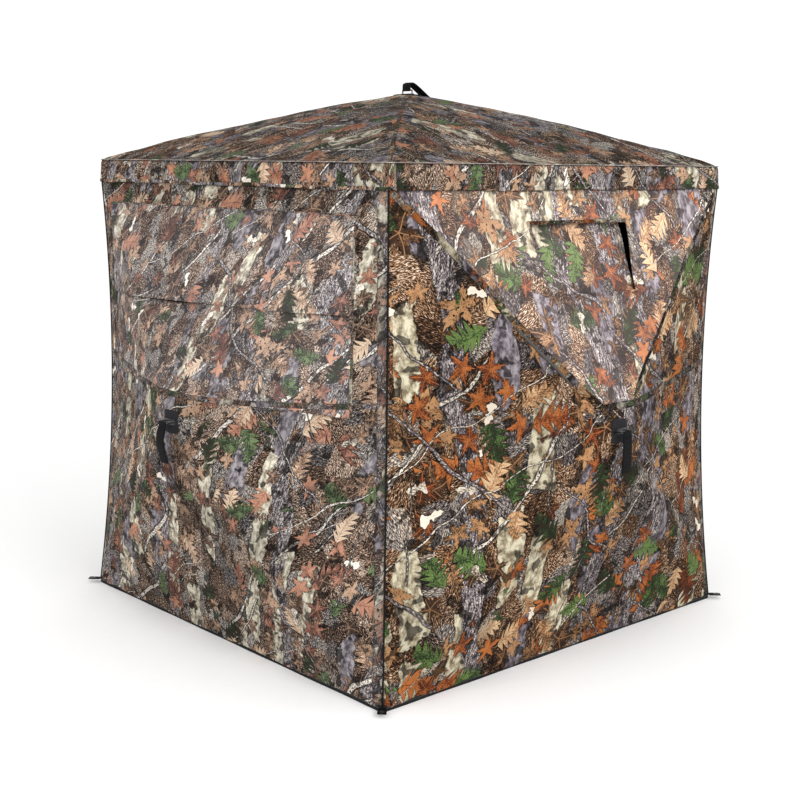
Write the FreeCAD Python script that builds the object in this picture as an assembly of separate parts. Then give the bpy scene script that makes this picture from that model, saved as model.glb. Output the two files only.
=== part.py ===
"""Pop up ground blind: a square fabric cabin held in tension by five pop-out hubs.

Frame: +Z up, origin on the ground at the middle of the footprint. The front wall faces -Y.
Each wall and the roof is a shallow fabric pyramid. A hub at its tip carries four poles that
reach into pockets at its corners. Each face is drawn flat in its own frame (u along the
face, v up it, h outwards) and then put in its place.
"""
import FreeCAD, Part
import math
import os

from FreeCAD import Placement, Rotation, Vector

# ---- driving dimensions, mm ----
BASE_HALF = 735.0          # half the footprint
TOP_HALF = 705.0           # half the cabin at the top edge of the walls
WALL_TOP = 1372.0          # height of the walls' top edge, just behind the valance
ROOF_HALF = 712.0          # half the roof at its eave
EAVE_Z = 1436.0
ROOF_RISE = 214.0          # from the eave up to the fabric round the roof hub
WALL_HUB_V = 692.0         # height of a wall hub up its wall
WALL_BULGE = 186.0         # how far the fabric round a wall hub stands out of the wall's edges
FABRIC = 1.2               # thickness of cloth and mesh
HOLE_HALF = 30.0           # half the hole in the cloth under a hub's patch

VALANCE_DROP = 69.0        # skirt that hangs from the eave over the walls' top
VALANCE_T = 1.4
HEM_H = 20.0               # bound bottom edge, which stands on the ground
HEM_T = 3.0

HUB_DEPTH = 17.0           # from the fabric round a hub down to its pole pivots
PIVOT_R = 40.0             # pole pivots from the hub's axis
TIP_INSET = 52.0           # pole tips from the edges of a wall
ROOF_TIP_INSET = 50.0
TIP_DEPTH = 22.0           # pole tips behind the plane of a wall's edges
ROOF_TIP_DEPTH = 24.0

ROD_R = 4.75
FERRULE_R = 6.2
CAP_R = 6.3
PIN_R = 2.5
RUNNING = 0.1              # radial clearance of a turning fit

CUP_WALL = 2.0
CUP_MOUTH_R = 10.0
CUP_END_R = 6.9
CUP_MOUTH = 12.0           # pocket reaches this far back over the pole's tip

PATCH_HALF = 34.0
PATCH_T = 2.0
BAIL_R = 2.2
BAIL_HALF = 22.0
WALL_BAIL = 44.0           # crossbar above the pole pivots
ROOF_BAIL = 32.0
STRAP_W = 38.0
STRAP_T = 3.0
STRAP_LEN = 120.0
ROOF_STRAP_RISE = 20.0
ROOF_STRAP_REACH = 84.0

MESH_HALF = 610.0          # side walls' see-through mesh, across and up the wall
MESH_LOW = 770.0
MESH_HIGH = 1300.0
SLIT_V = 1036.0            # where the upper mesh laps over the lower
SLIT_LAP = 16.0
LAP_DEPTH = 4.0

FRONT_MESH_LOW = 768.0     # front mesh, lower edge up the wall
FRONT_MESH_HALF = 625.0    # its upper corners are cut off here, clear of the pole pockets
SEAM_GAP = 4.0             # from a turning panel to the cloth beside it
WINDOW_LOW = 1077.0
WINDOW_HIGH = 1272.0
WINDOW_HALF_LOW = 198.0
WINDOW_HALF_HIGH = 210.0
TAPE_W = 10.0              # binding tape round the window
FLAP_LAP = 14.0
FLAP_DEPTH = 20.0          # flap hangs this far inside the window mesh

ZIP_W = 20.0
ZIP_GAP = 1.5
DOOR_EDGE = 8.0            # door's hinge edge from the wall's corner
DOOR_HEM = 110.0           # door's ends from the top and bottom corners
DOOR_HUB_END = 40.0        # door's narrow end from the hole under the hub's patch
SLIDER_L = 16.0
SLIDER_W = 11.0
SLIDER_T = 5.0
SLIDER_START = 0.12        # where the closed slider stands along its zip, hub end first

GROMMET_R = 5.0
GROMMET_TUBE = 7.0
GROMMET_FLANGE = 9.0
LOOP_W = 25.0
LOOP_LEN = 38.0
LOOP_T = 2.5
LOOP_Z = 12.0

TILT = math.atan2(BASE_HALF - TOP_HALF, WALL_TOP)
PAD = 0.3                  # gap between sewn pieces that only lie on each other


class Face:
    """One face of the cabin: its frame, outline and hub."""

    def __init__(self, name, turn, place, corners, hub_v, bulge, tips, tip_depth, bail):
        self.name = name
        self.turn = turn
        self.place = place
        self.corners = corners
        self.hub = (0.0, hub_v)
        self.bulge = bulge
        self.tips = tips
        self.tip_depth = tip_depth
        self.bail = bail
        hole = HOLE_HALF / abs(corners[0][0])
        self.hole = hole
        self.peak = bulge / (1.0 - hole)
        self.pivot_h = bulge - HUB_DEPTH

    def height(self, gore, u, v):
        """Height of the cloth's outer surface over gore's base edge."""
        a = self.corners[gore]
        b = self.corners[(gore + 1) % 4]
        return self.peak * from_edge((u, v), a, b) / from_edge(self.hub, a, b)

    def hole_corner(self, i):
        u, v = self.corners[i]
        return (u * self.hole, self.hub[1] + (v - self.hub[1]) * self.hole)

    def gore(self, i):
        """Outline of gore i: two corners of the face, then two of the hub's hole."""
        j = (i + 1) % 4
        return [self.corners[i], self.corners[j], self.hole_corner(j), self.hole_corner(i)]

    def on_gore(self, gore, outline, drop=0.0, thick=FABRIC):
        """A sheet lying on a gore, its outer surface drop below the cloth's."""
        points = [Vector(u, v, self.height(gore, u, v) - drop) for u, v in outline]
        face = Part.Face(Part.makePolygon(points + points[:1]))
        return face.extrude(Vector(0, 0, -thick))

    def put(self, shape):
        moved = shape.copy()
        moved.Placement = self.place.multiply(moved.Placement)
        return moved

    def world(self, u, v, h):
        return self.place.multVec(Vector(u, v, h))

    def direction(self, u, v, h):
        return self.place.Rotation.multVec(Vector(u, v, h))


def from_edge(point, a, b):
    """Distance of a point from the line a-b."""
    du, dv = b[0] - a[0], b[1] - a[1]
    return abs((point[0] - a[0]) * dv - (point[1] - a[1]) * du) / math.hypot(du, dv)


def meet(p, d, q, e):
    """Where the lines p + d and q + e cross."""
    k = ((q[0] - p[0]) * e[1] - (q[1] - p[1]) * e[0]) / (d[0] * e[1] - d[1] * e[0])
    return (p[0] + k * d[0], p[1] + k * d[1])


def inset(outline, by):
    """Outline (anticlockwise) with each side moved inwards, side i by by[i]."""
    lines = []
    for i, a in enumerate(outline):
        b = outline[(i + 1) % len(outline)]
        d = (b[0] - a[0], b[1] - a[1])
        n = math.hypot(*d)
        lines.append(((a[0] - d[1] / n * by[i], a[1] + d[0] / n * by[i]), d))
    return [meet(*lines[i - 1], *lines[i]) for i in range(len(lines))]


def box(x0, x1, y0, y1, z0, z1):
    return Part.makeBox(x1 - x0, y1 - y0, z1 - z0, Vector(x0, y0, z0))


def rod(radius, start, along, length):
    return Part.makeCylinder(radius, length, start, along)


def strip(a, b, width, thick, z):
    """Upright band from a to b on the ground plan, its outer side on the line a-b."""
    shape = box(0, math.dist(a, b), 0, thick, 0, width)
    angle = math.degrees(math.atan2(b[1] - a[1], b[0] - a[0]))
    shape.Placement = Placement(Vector(a[0], a[1], z), Rotation(Vector(0, 0, 1), angle))
    return shape


# ---- the five faces ----
def wall_face(name, turn):
    lean = Rotation(Vector(1, 0, 0), Vector(0, math.sin(TILT), math.cos(TILT)),
                    Vector(0, -math.cos(TILT), math.sin(TILT)), "ZXY")
    place = Placement(Vector(0, -BASE_HALF, 0), lean)
    place = Placement(Vector(0, 0, 0), Rotation(Vector(0, 0, 1), turn)).multiply(place)
    top = WALL_TOP / math.cos(TILT)
    corners = [(-BASE_HALF, 0.0), (BASE_HALF, 0.0), (TOP_HALF, top), (-TOP_HALF, top)]
    low = BASE_HALF - TIP_INSET
    high = TOP_HALF - TIP_INSET
    high_v = top - TIP_INSET
    tips = {
        "lower_left": (-low, TIP_INSET), "lower_right": (low, TIP_INSET),
        "upper_right": (high, high_v), "upper_left": (-high, high_v),
    }
    return Face(name, turn, place, corners, WALL_HUB_V, WALL_BULGE, tips, TIP_DEPTH, WALL_BAIL)


def roof_face():
    axes = Rotation(Vector(0, 1, 0), Vector(-1, 0, 0), Vector(0, 0, 1), "ZXY")
    half = ROOF_HALF
    corners = [(-half, -half), (half, -half), (half, half), (-half, half)]
    tip = half - ROOF_TIP_INSET
    tips = {
        "front_right": (-tip, -tip), "back_right": (tip, -tip),
        "back_left": (tip, tip), "front_left": (-tip, tip),
    }
    return Face("roof", 0, Placement(Vector(0, 0, EAVE_Z), axes), corners, 0.0, ROOF_RISE,
                tips, ROOF_TIP_DEPTH, ROOF_BAIL)


FRONT = wall_face("front", 0)
RIGHT = wall_face("right", 90)
BACK = wall_face("back", 180)
LEFT = wall_face("left", -90)
ROOF = roof_face()
WALLS = [FRONT, RIGHT, BACK, LEFT]
FACES = WALLS + [ROOF]
BOTTOM, RIGHT_SIDE, TOP, LEFT_SIDE = range(4)


# ---- hubs and poles ----
def pole_line(face, tip):
    """Pivot, direction, length and lean of the pole that reaches to tip, in the face's frame."""
    du, dv = face.tips[tip][0] - face.hub[0], face.tips[tip][1] - face.hub[1]
    reach = math.hypot(du, dv)
    out = (du / reach, dv / reach)
    fall = face.pivot_h + face.tip_depth
    lean = math.atan2(fall, reach - PIVOT_R)
    pivot = Vector(out[0] * PIVOT_R, face.hub[1] + out[1] * PIVOT_R, face.pivot_h)
    along = Vector(out[0] * math.cos(lean), out[1] * math.cos(lean), -math.sin(lean))
    return pivot, along, math.hypot(fall, reach - PIVOT_R), lean


def travel(face):
    """How far a hub snaps through, from popped out to pushed in."""
    return 2.0 * (face.pivot_h + face.tip_depth)


def pole(face, tip):
    """Fibreglass rod with a flat eye on its hub end and a round cap on its tip."""
    pivot, along, length, _ = pole_line(face, tip)
    eye_r, eye_half, eye_len = 6.0, 4.5, 34.0
    ferrule_from, ferrule_to, cap_from = 28.0, 60.0, length - 28.0
    dome = length - CAP_R
    profile = [
        Part.makePolygon([
            Vector(dome, 0, CAP_R), Vector(cap_from, 0, CAP_R), Vector(cap_from, 0, ROD_R),
            Vector(ferrule_to, 0, ROD_R), Vector(ferrule_to, 0, FERRULE_R),
            Vector(ferrule_from, 0, FERRULE_R), Vector(ferrule_from, 0, 0), Vector(length, 0, 0),
        ]),
        Part.Arc(Vector(length, 0, 0),
                 Vector(dome + CAP_R * math.cos(math.pi / 4), 0, CAP_R * math.sin(math.pi / 4)),
                 Vector(dome, 0, CAP_R)).toShape(),
    ]
    edges = [e for part in profile for e in part.Edges]
    body = Part.Face(Part.Wire(edges)).revolve(Vector(0, 0, 0), Vector(1, 0, 0), 360)
    eye = rod(eye_r, Vector(0, -eye_half, 0), Vector(0, 1, 0), 2 * eye_half)
    tongue = box(0, eye_len, -eye_half, eye_half, -5.0, 5.0)
    hole = rod(PIN_R + RUNNING, Vector(0, -10, 0), Vector(0, 1, 0), 20)
    shape = body.fuse([tongue, eye]).cut(hole)
    across = Vector(0, 0, 1).cross(along).normalize()
    turn = Rotation(along, across, along.cross(across), "XYZ")
    shape.Placement = Placement(pivot, turn)
    return face.put(shape)


def at_hub(face, shape, angle=0.0):
    """Shape drawn about the hub's pivot plane, turned about the hub's axis."""
    spun = Placement(Vector(0, face.hub[1], face.pivot_h), Rotation(Vector(0, 0, 1), angle))
    shape.Placement = spun.multiply(shape.Placement)
    return shape


def pole_angles(face):
    return [math.degrees(math.atan2(v - face.hub[1], u)) for u, v in face.tips.values()]


def hub(face):
    """Moulded hub: a disc with four clevises and a boss for the through bolt."""
    ear_in, ear_out = 5.0, 8.6
    boss = rod(15.0, Vector(0, 0, -14), Vector(0, 0, 1), 20)
    disc = rod(38.0, Vector(0, 0, 7.5), Vector(0, 0, 1), 5.0)
    neck = rod(15.0, Vector(0, 0, 5.5), Vector(0, 0, 1), 3.0)
    pieces = [disc, neck]
    for angle in pole_angles(face):
        root = box(8, PIVOT_R - 9, -ear_out, ear_out, -8, 8)
        ears = [box(PIVOT_R - 12, PIVOT_R + 6, ear_in, ear_out, -8, 8),
                box(PIVOT_R - 12, PIVOT_R + 6, -ear_out, -ear_in, -8, 8)]
        clevis = root.fuse(ears)
        clevis = clevis.cut(rod(PIN_R, Vector(PIVOT_R, -12, 0), Vector(0, 1, 0), 24))
        clevis.Placement = Placement(Vector(0, 0, 0), Rotation(Vector(0, 0, 1), angle))
        pieces.append(clevis)
    shape = boss.fuse(pieces).cut(rod(4.1, Vector(0, 0, -20), Vector(0, 0, 1), 40))
    return face.put(at_hub(face, shape))


def hub_fasteners(face):
    """Eye bolt with its plate and crossbar, its nut, and the four pole pins."""
    top = HUB_DEPTH + PAD + PATCH_T
    shank = rod(4.0, Vector(0, 0, -24), Vector(0, 0, 1), 24 + top + 1)
    plate = box(-27, 27, -8, 8, top, top + 2.0)
    plate = plate.makeFillet(5.0, [e for e in plate.Edges if abs(e.tangentAt(0).z) > 0.9])
    bail = face.bail
    posts = [rod(BAIL_R, Vector(u, 0, top + 1), Vector(0, 0, 1), bail - top - 1)
             for u in (-BAIL_HALF, BAIL_HALF)]
    corners = [Part.makeSphere(BAIL_R, Vector(u, 0, bail)) for u in (-BAIL_HALF, BAIL_HALF)]
    bar = rod(BAIL_R, Vector(-BAIL_HALF, 0, bail), Vector(1, 0, 0), 2 * BAIL_HALF)
    eye_bolt = shank.fuse([plate, bar] + posts + corners).removeSplitter()
    hexagon = [Vector(7.5 * math.cos(math.radians(60 * k)), 7.5 * math.sin(math.radians(60 * k)),
                      -21.0) for k in range(7)]
    nut = Part.Face(Part.makePolygon(hexagon)).extrude(Vector(0, 0, 6.8))
    nut = nut.cut(rod(4.0, Vector(0, 0, -30), Vector(0, 0, 1), 20))
    pins = []
    for angle in pole_angles(face):
        pin = rod(PIN_R, Vector(PIVOT_R, -10.6, 0), Vector(0, 1, 0), 21.2)
        heads = [rod(4.0, Vector(PIVOT_R, y, 0), Vector(0, 1, 0), 1.6) for y in (-10.4, 8.8)]
        pin = pin.fuse(heads)
        pin.Placement = Placement(Vector(0, 0, 0), Rotation(Vector(0, 0, 1), angle))
        pins.append(pin)
    return face.put(at_hub(face, Part.Compound([eye_bolt, nut] + pins)))


def hub_patch(face):
    """Square reinforcement clamped over the hole in the cloth."""
    low = HUB_DEPTH + PAD
    plate = box(-PATCH_HALF, PATCH_HALF, -PATCH_HALF, PATCH_HALF, low, low + PATCH_T)
    plate = plate.makeFillet(5.0, [e for e in plate.Edges if abs(e.tangentAt(0).z) > 0.9])
    plate = plate.cut(rod(4.1, Vector(0, 0, 0), Vector(0, 0, 1), 40))
    return face.put(at_hub(face, plate))


def strap_loop(bail, outline):
    """Webbing of the given side outline (v, h), sewn round the hub's crossbar."""
    points = [Vector(-STRAP_W / 2, v, h) for v, h in outline]
    web = Part.Face(Part.makePolygon(points + points[:1])).extrude(Vector(STRAP_W, 0, 0))
    start = Vector(-STRAP_W / 2, 0, bail)
    sleeve = rod(BAIL_R + RUNNING + 2.2, start, Vector(1, 0, 0), STRAP_W)
    eye = rod(BAIL_R + RUNNING, start - Vector(5, 0, 0), Vector(1, 0, 0), STRAP_W + 10)
    return web.fuse(sleeve).cut(eye).removeSplitter()


def pull_strap(face):
    half = STRAP_T / 2
    bail = face.bail
    if face is ROOF:
        crest = bail + ROOF_STRAP_RISE
        foot = HUB_DEPTH - 8.0
        fold = 7.0
        outline = [
            (half, bail), (fold + half, crest), (-fold, crest + STRAP_T),
            (-ROOF_STRAP_REACH, foot + STRAP_T), (-ROOF_STRAP_REACH, foot),
            (-fold, crest - half), (-half, bail),
        ]
        return face.put(at_hub(face, strap_loop(bail, outline)))
    outline = [
        (0, bail + half), (-STRAP_LEN, bail + half), (-STRAP_LEN, bail - half - 1.5),
        (-STRAP_LEN + 20, bail - half - 1.5), (-STRAP_LEN + 20, bail - half), (0, bail - half),
    ]
    return face.put(at_hub(face, strap_loop(bail, outline)))


def corner_pocket(face, tip):
    """Tapered cup that takes a pole's tip and leaves it room to swing and to reach out."""
    _, _, length, lean = pole_line(face, tip)
    reach = length * math.cos(lean)
    beyond = length - reach + 2.5
    u, v = face.tips[tip]
    out = Vector(u - face.hub[0], v - face.hub[1], 0).normalize()
    at = Vector(u, v, -face.tip_depth)
    mouth = at - out * CUP_MOUTH
    deep = CUP_MOUTH + beyond
    outer = Part.makeCone(CUP_MOUTH_R + CUP_WALL, CUP_END_R + CUP_WALL, deep + CUP_WALL, mouth, out)
    inner = Part.makeCone(CUP_MOUTH_R, CUP_END_R, deep, mouth, out)
    return face.put(outer.cut(inner))


# ---- cloth ----
def above_hem(sheet):
    """Cut a wall's cloth off where the bound hem takes over."""
    size = 2 * BASE_HALF
    keep = box(-size, size, HEM_H + PAD, 2 * size, -size, size)
    return sheet.common(keep)


def solids(shapes):
    return Part.Compound([s for shape in shapes for s in shape.Solids])


def sewn_into_cabin(face, sheets):
    """A wall's sheets put in place, mitred where they meet the walls next to them."""
    size = 2 * BASE_HALF
    mitre = [Vector(0, -PAD, 0), Vector(-size, -size - PAD, 0), Vector(size, -size - PAD, 0)]
    wedge = Part.Face(Part.makePolygon(mitre + mitre[:1])).extrude(Vector(0, 0, 2 * size))
    wedge.Placement = Placement(Vector(0, 0, 0), Rotation(Vector(0, 0, 1), face.turn))
    return solids(face.put(above_hem(sheet)).common(wedge) for sheet in sheets)


def mesh_window(low, high):
    return box(-MESH_HALF, MESH_HALF, low, high, -500, 500)


def side_wall(face):
    """Wall with a wide band of mesh: cloth above, below and beside it."""
    opening = mesh_window(MESH_LOW, MESH_HIGH)
    gores = [face.on_gore(i, face.gore(i)).cut(opening) for i in range(4)]
    return sewn_into_cabin(face, gores)


def side_mesh(face, low, high, drop):
    """One of the two mesh sheets that lap at the slit."""
    keep = mesh_window(low, high)
    gores = [face.on_gore(i, face.gore(i), drop).common(keep) for i in (RIGHT_SIDE, TOP, LEFT_SIDE)]
    return face.put(solids(gores))


def front_wall(face):
    """Wall whose top gore, above the band by the hub, is left to the window panel."""
    gores = [face.on_gore(i, face.gore(i)) for i in (BOTTOM, RIGHT_SIDE, LEFT_SIDE)]
    size = 2 * BASE_HALF
    half = FRONT_MESH_HALF + SEAM_GAP
    window = box(-half, half, FRONT_MESH_LOW - SEAM_GAP, size, -size, size)
    return sewn_into_cabin(face, gores + [face.on_gore(TOP, face.gore(TOP)).cut(window)])


def window_outline(grow):
    """Front window, grown outwards on every side, anticlockwise from its lower left."""
    outline = [(-WINDOW_HALF_LOW, WINDOW_LOW), (WINDOW_HALF_LOW, WINDOW_LOW),
               (WINDOW_HALF_HIGH, WINDOW_HIGH), (-WINDOW_HALF_HIGH, WINDOW_HIGH)]
    return inset(outline, [-grow] * 4)


def front_panel_outline(face):
    """The top gore, anticlockwise from its lower left, held back from the cloth beside it."""
    right, left, hub_left, hub_right = face.gore(TOP)
    outline = [hub_left, hub_right, right, left]
    outline = inset(outline, [0, SEAM_GAP, SEAM_GAP, SEAM_GAP])
    a, b, c, d = outline
    level = (1.0, 0.0)
    low_right = meet(b, (c[0] - b[0], c[1] - b[1]), (0, FRONT_MESH_LOW), level)
    low_left = meet(a, (d[0] - a[0], d[1] - a[1]), (0, FRONT_MESH_LOW), level)
    return [low_left, low_right, c, d]


def front_mesh(face):
    size = 2 * BASE_HALF
    panel = face.on_gore(TOP, front_panel_outline(face))
    panel = panel.common(box(-FRONT_MESH_HALF, FRONT_MESH_HALF, 0, size, -size, size))
    hole = face.on_gore(TOP, window_outline(0), -20, 40)
    return face.put(panel.cut(hole))


def front_window_tape(face):
    """Four strips of binding tape round the window, on the outside of the mesh."""
    inner = window_outline(0)
    outer = window_outline(TAPE_W)
    strips = []
    for i in range(4):
        j = (i + 1) % 4
        quad = [outer[i], outer[j], inner[j], inner[i]]
        strips.append(face.on_gore(TOP, quad, -PAD - FABRIC))
    return face.put(solids(strips))


def front_window_flap(face):
    return face.put(face.on_gore(TOP, window_outline(FLAP_LAP), FLAP_DEPTH))


def door_span(face, margin=0.0):
    """The part of the right side gore that the door and its zip take up."""
    size = 2 * BASE_HALF
    hub_end = -face.hole_corner(0)[0] + DOOR_HUB_END - margin
    low = DOOR_HEM - margin
    high = face.corners[2][1] - DOOR_HEM + margin
    return box(hub_end, size, low, high, -size, size)


def back_wall(face):
    """Wall whose right side gore is left to the door."""
    gores = [face.on_gore(i, face.gore(i)) for i in (BOTTOM, TOP, LEFT_SIDE)]
    beside_door = face.on_gore(RIGHT_SIDE, face.gore(RIGHT_SIDE)).cut(door_span(face, SEAM_GAP))
    return sewn_into_cabin(face, gores + [beside_door])


def door_gore(face, held_back):
    """Right side gore, its corner edge beside the hinge and its other sides held back."""
    outline = face.gore(RIGHT_SIDE)
    hub_end = DOOR_HUB_END + held_back - SEAM_GAP
    return inset(outline, [DOOR_EDGE, held_back, hub_end, held_back])


def back_door(face):
    leaf = face.on_gore(RIGHT_SIDE, door_gore(face, SEAM_GAP + ZIP_W + ZIP_GAP))
    return face.put(leaf.common(door_span(face)))


def back_door_zip(face):
    """Zip tape up both slanting sides of the door and across its hub end."""
    outer = door_gore(face, SEAM_GAP)
    inner = door_gore(face, SEAM_GAP + ZIP_W)
    strips = []
    for i in (1, 2, 3):
        j = (i + 1) % 4
        quad = [outer[i], outer[j], inner[j], inner[i]]
        strips.append(face.on_gore(RIGHT_SIDE, quad).common(door_span(face)))
    return face.put(solids(strips))


def zip_line(face):
    """Middle line of the door's lower zip tape, hub end first, as two points in the face."""
    line = door_gore(face, SEAM_GAP + ZIP_W / 2)
    hub_end, corner_end = line[3], line[0]
    k = (DOOR_HEM - hub_end[1]) / (corner_end[1] - hub_end[1])
    corner_end = tuple(h + k * (c - h) for h, c in zip(hub_end, corner_end))
    return [Vector(u, v, face.height(RIGHT_SIDE, u, v)) for u, v in (hub_end, corner_end)]


def back_door_slider(face):
    """Zip slider with its pull tab, on the outside of the lower zip tape."""
    a, b = zip_line(face)
    along = (b - a).normalize()
    start = a + (b - a) * SLIDER_START
    corner = [Vector(*c, 0) for c in (face.corners[1], face.corners[2])]
    normal = (corner[1] - corner[0]).cross(a - corner[0]).normalize()
    if normal.z < 0:
        normal = -normal
    across = normal.cross(along)
    body = box(-SLIDER_L / 2, SLIDER_L / 2, -SLIDER_W / 2, SLIDER_W / 2, 0, SLIDER_T)
    body = body.makeFillet(1.5, [e for e in body.Edges if abs(e.tangentAt(0).z) > 0.9])
    tab = box(SLIDER_L / 2 - 5, SLIDER_L / 2 + 30, -3.5, 3.5, SLIDER_T - 1.6, SLIDER_T)
    tab = tab.cut(rod(1.8, Vector(SLIDER_L / 2 + 25, 0, 0), Vector(0, 0, 1), 10))
    shape = body.fuse(tab)
    turn = Rotation(along, across, normal, "ZXY")
    shape.Placement = Placement(start + normal * 0.6, turn)
    return face.put(shape)


def roof(face):
    return face.put(solids(face.on_gore(i, face.gore(i)) for i in range(4)))


def ring_of_strips(half, width, thick, z):
    """Four upright bands round a square, outer faces at half, two between the other two."""
    c = half
    ends = [((-c, -c), (c, -c)), ((c, -c + thick), (c, c - thick)),
            ((c, c), (-c, c)), ((-c, c - thick), (-c, -c + thick))]
    return solids(strip(a, b, width, thick, z) for a, b in ends)


def valance():
    top = EAVE_Z - FABRIC
    return ring_of_strips(ROOF_HALF, VALANCE_DROP - FABRIC, VALANCE_T, top - VALANCE_DROP + FABRIC)


def hem():
    return ring_of_strips(BASE_HALF + HEM_T / 2, HEM_H, HEM_T, 0)


def at_corner(shape, turn):
    """Shape drawn about a footprint corner, +X outwards, put at the corner at angle turn."""
    reach = (BASE_HALF + HEM_T / 2) * math.sqrt(2)
    spot = Vector(reach * math.cos(math.radians(turn)), reach * math.sin(math.radians(turn)), 0)
    shape.Placement = Placement(spot, Rotation(Vector(0, 0, 1), turn))
    return shape


CORNER_TURNS = (45, 135, 225, 315)
GROMMET_OUT = LOOP_LEN - GROMMET_FLANGE - 4.0


def stake_loops():
    """Webbing tab at each bottom corner, with a hole for its grommet."""
    half = BASE_HALF + HEM_T / 2 + PAD
    inside = box(-half, half, -half, half, -1, 100)
    tabs = []
    for turn in CORNER_TURNS:
        tab = box(-20, LOOP_LEN, -LOOP_W / 2, LOOP_W / 2, LOOP_Z, LOOP_Z + LOOP_T)
        tab = tab.cut(rod(GROMMET_TUBE + 0.05, Vector(GROMMET_OUT, 0, 0), Vector(0, 0, 1), 50))
        tabs.append(at_corner(tab, turn).cut(inside))
    return solids(tabs)


def stake_grommets():
    """Steel eyelet in each tab, which a ground stake goes through."""
    lip = 1.2
    low, high = LOOP_Z - lip - 0.05, LOOP_Z + LOOP_T + lip + 0.05
    rings = []
    for turn in CORNER_TURNS:
        tube = rod(GROMMET_TUBE, Vector(GROMMET_OUT, 0, low), Vector(0, 0, 1), high - low)
        flanges = [rod(GROMMET_FLANGE, Vector(GROMMET_OUT, 0, z), Vector(0, 0, 1), lip)
                   for z in (low, high - lip)]
        ring = tube.fuse(flanges)
        ring = ring.cut(rod(GROMMET_R, Vector(GROMMET_OUT, 0, 0), Vector(0, 0, 1), 50))
        rings.append(at_corner(ring, turn))
    return solids(rings)


# ---- the nodes ----
def nodes():
    made = {}
    for face in FACES:
        made[f"{face.name}_hub"] = hub(face)
        made[f"{face.name}_hub_fasteners"] = hub_fasteners(face)
        made[f"{face.name}_hub_patch"] = hub_patch(face)
        made[f"{face.name}_pull_strap"] = pull_strap(face)
        for tip in face.tips:
            made[f"{face.name}_{tip}_pole"] = pole(face, tip)
    made["corner_pockets"] = solids(corner_pocket(f, tip) for f in FACES for tip in f.tips)
    made["front_wall"] = front_wall(FRONT)
    made["front_mesh"] = front_mesh(FRONT)
    made["front_window_tape"] = front_window_tape(FRONT)
    made["front_window_flap"] = front_window_flap(FRONT)
    made["back_wall"] = back_wall(BACK)
    made["back_door"] = back_door(BACK)
    made["back_door_zip"] = back_door_zip(BACK)
    made["back_door_slider"] = back_door_slider(BACK)
    for face in (LEFT, RIGHT):
        made[f"{face.name}_wall"] = side_wall(face)
        made[f"{face.name}_upper_mesh"] = side_mesh(face, SLIT_V, MESH_HIGH, 0.0)
        made[f"{face.name}_lower_mesh"] = side_mesh(face, MESH_LOW, SLIT_V + SLIT_LAP, LAP_DEPTH)
    made["roof"] = roof(ROOF)
    made["valance"] = valance()
    made["hem"] = hem()
    made["stake_loops"] = stake_loops()
    made["stake_grommets"] = stake_grommets()
    return made


def main():
    os.makedirs("parts", exist_ok=True)
    for name, shape in nodes().items():
        shape.exportStep(f"parts/{name}.step")


if __name__ == "__main__":
    main()
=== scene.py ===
import math

import bpy
import numpy as np
from mathutils import Matrix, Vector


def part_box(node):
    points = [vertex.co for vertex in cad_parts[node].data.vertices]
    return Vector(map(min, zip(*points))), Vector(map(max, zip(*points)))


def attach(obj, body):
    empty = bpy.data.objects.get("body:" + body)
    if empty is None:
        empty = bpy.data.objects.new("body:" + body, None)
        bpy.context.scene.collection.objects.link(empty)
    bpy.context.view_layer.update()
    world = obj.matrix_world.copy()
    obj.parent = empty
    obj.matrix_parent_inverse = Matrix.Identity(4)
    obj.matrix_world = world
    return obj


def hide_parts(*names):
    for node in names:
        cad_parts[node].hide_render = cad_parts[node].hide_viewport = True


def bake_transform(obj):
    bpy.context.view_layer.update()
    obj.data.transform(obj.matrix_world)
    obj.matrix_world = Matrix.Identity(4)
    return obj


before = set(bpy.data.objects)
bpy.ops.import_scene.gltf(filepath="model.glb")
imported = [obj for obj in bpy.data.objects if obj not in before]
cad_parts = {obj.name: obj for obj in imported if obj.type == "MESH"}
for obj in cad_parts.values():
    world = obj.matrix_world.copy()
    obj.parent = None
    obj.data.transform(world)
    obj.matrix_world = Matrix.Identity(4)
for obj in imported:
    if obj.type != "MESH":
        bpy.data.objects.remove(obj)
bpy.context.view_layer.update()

# ---- sizes of the sewn work, metres ----
FABRIC = 0.0012            # thickness of the cloth
NET = 0.0008               # thickness of the see-through mesh
HEM_T = 0.003
GRID = 0.012               # spacing of the cloth's points
RING_STEP = 0.012          # spacing of the points round the eave and the hem
CLEAR = 0.0003             # between the cloth and a hub's patch
HUB_HOLE = 0.030           # half the width of the hole in the cloth under a patch
TIP_ROOM = 0.012           # still cloth round the poles' tips, as a share of the way to the hub
SEAM_BOW = 0.027           # how far each corner seam is drawn in at mid height
GORE_HOLLOW = 0.007        # how far a gore sinks between its poles
ROOF_ARCH = 0.016          # how far the bent poles lift the roof half way up its slopes
RIDGE_SHARP = 70.0         # how sharply the cloth bends over a pole
EAVE_ROUND = 0.024
HEM_ROUND = 0.008
TAPE_SINK = 0.0003         # how far a tape is pressed into the cloth
TAPE_STEP = 0.009          # spacing of the points along a tape
TAPE_SHIFT = (0.37, 0.21)  # tape is cut from another place of the print than the cloth under it
HUB_TAPE = 0.0162          # width of the tape across a side wall above its hub
WINDOW_TAPE = 0.010
FLAP_LAP = 0.014           # how far the flap reaches past the window
SLIT_LAP = 0.018           # how far the lower mesh reaches up behind the upper one
FELL = 0.027               # raised seam beside each corner
PIPING_R = 0.0024
BAIL_R = 0.0022            # radius of the crossbar that a strap goes round
STRAP_W = 0.038
ZIP_W = 0.020
SEAM_GAP = 0.004
DOOR_GAP = 0.0015          # between the door's cloth and its zip or seam
DOOR_EDGE = 0.008
DOOR_SELVAGE = 0.05        # strip beside the seam that stays when the door opens
DOOR_BEND = 0.06           # strip next to it over which the open door bends
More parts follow.
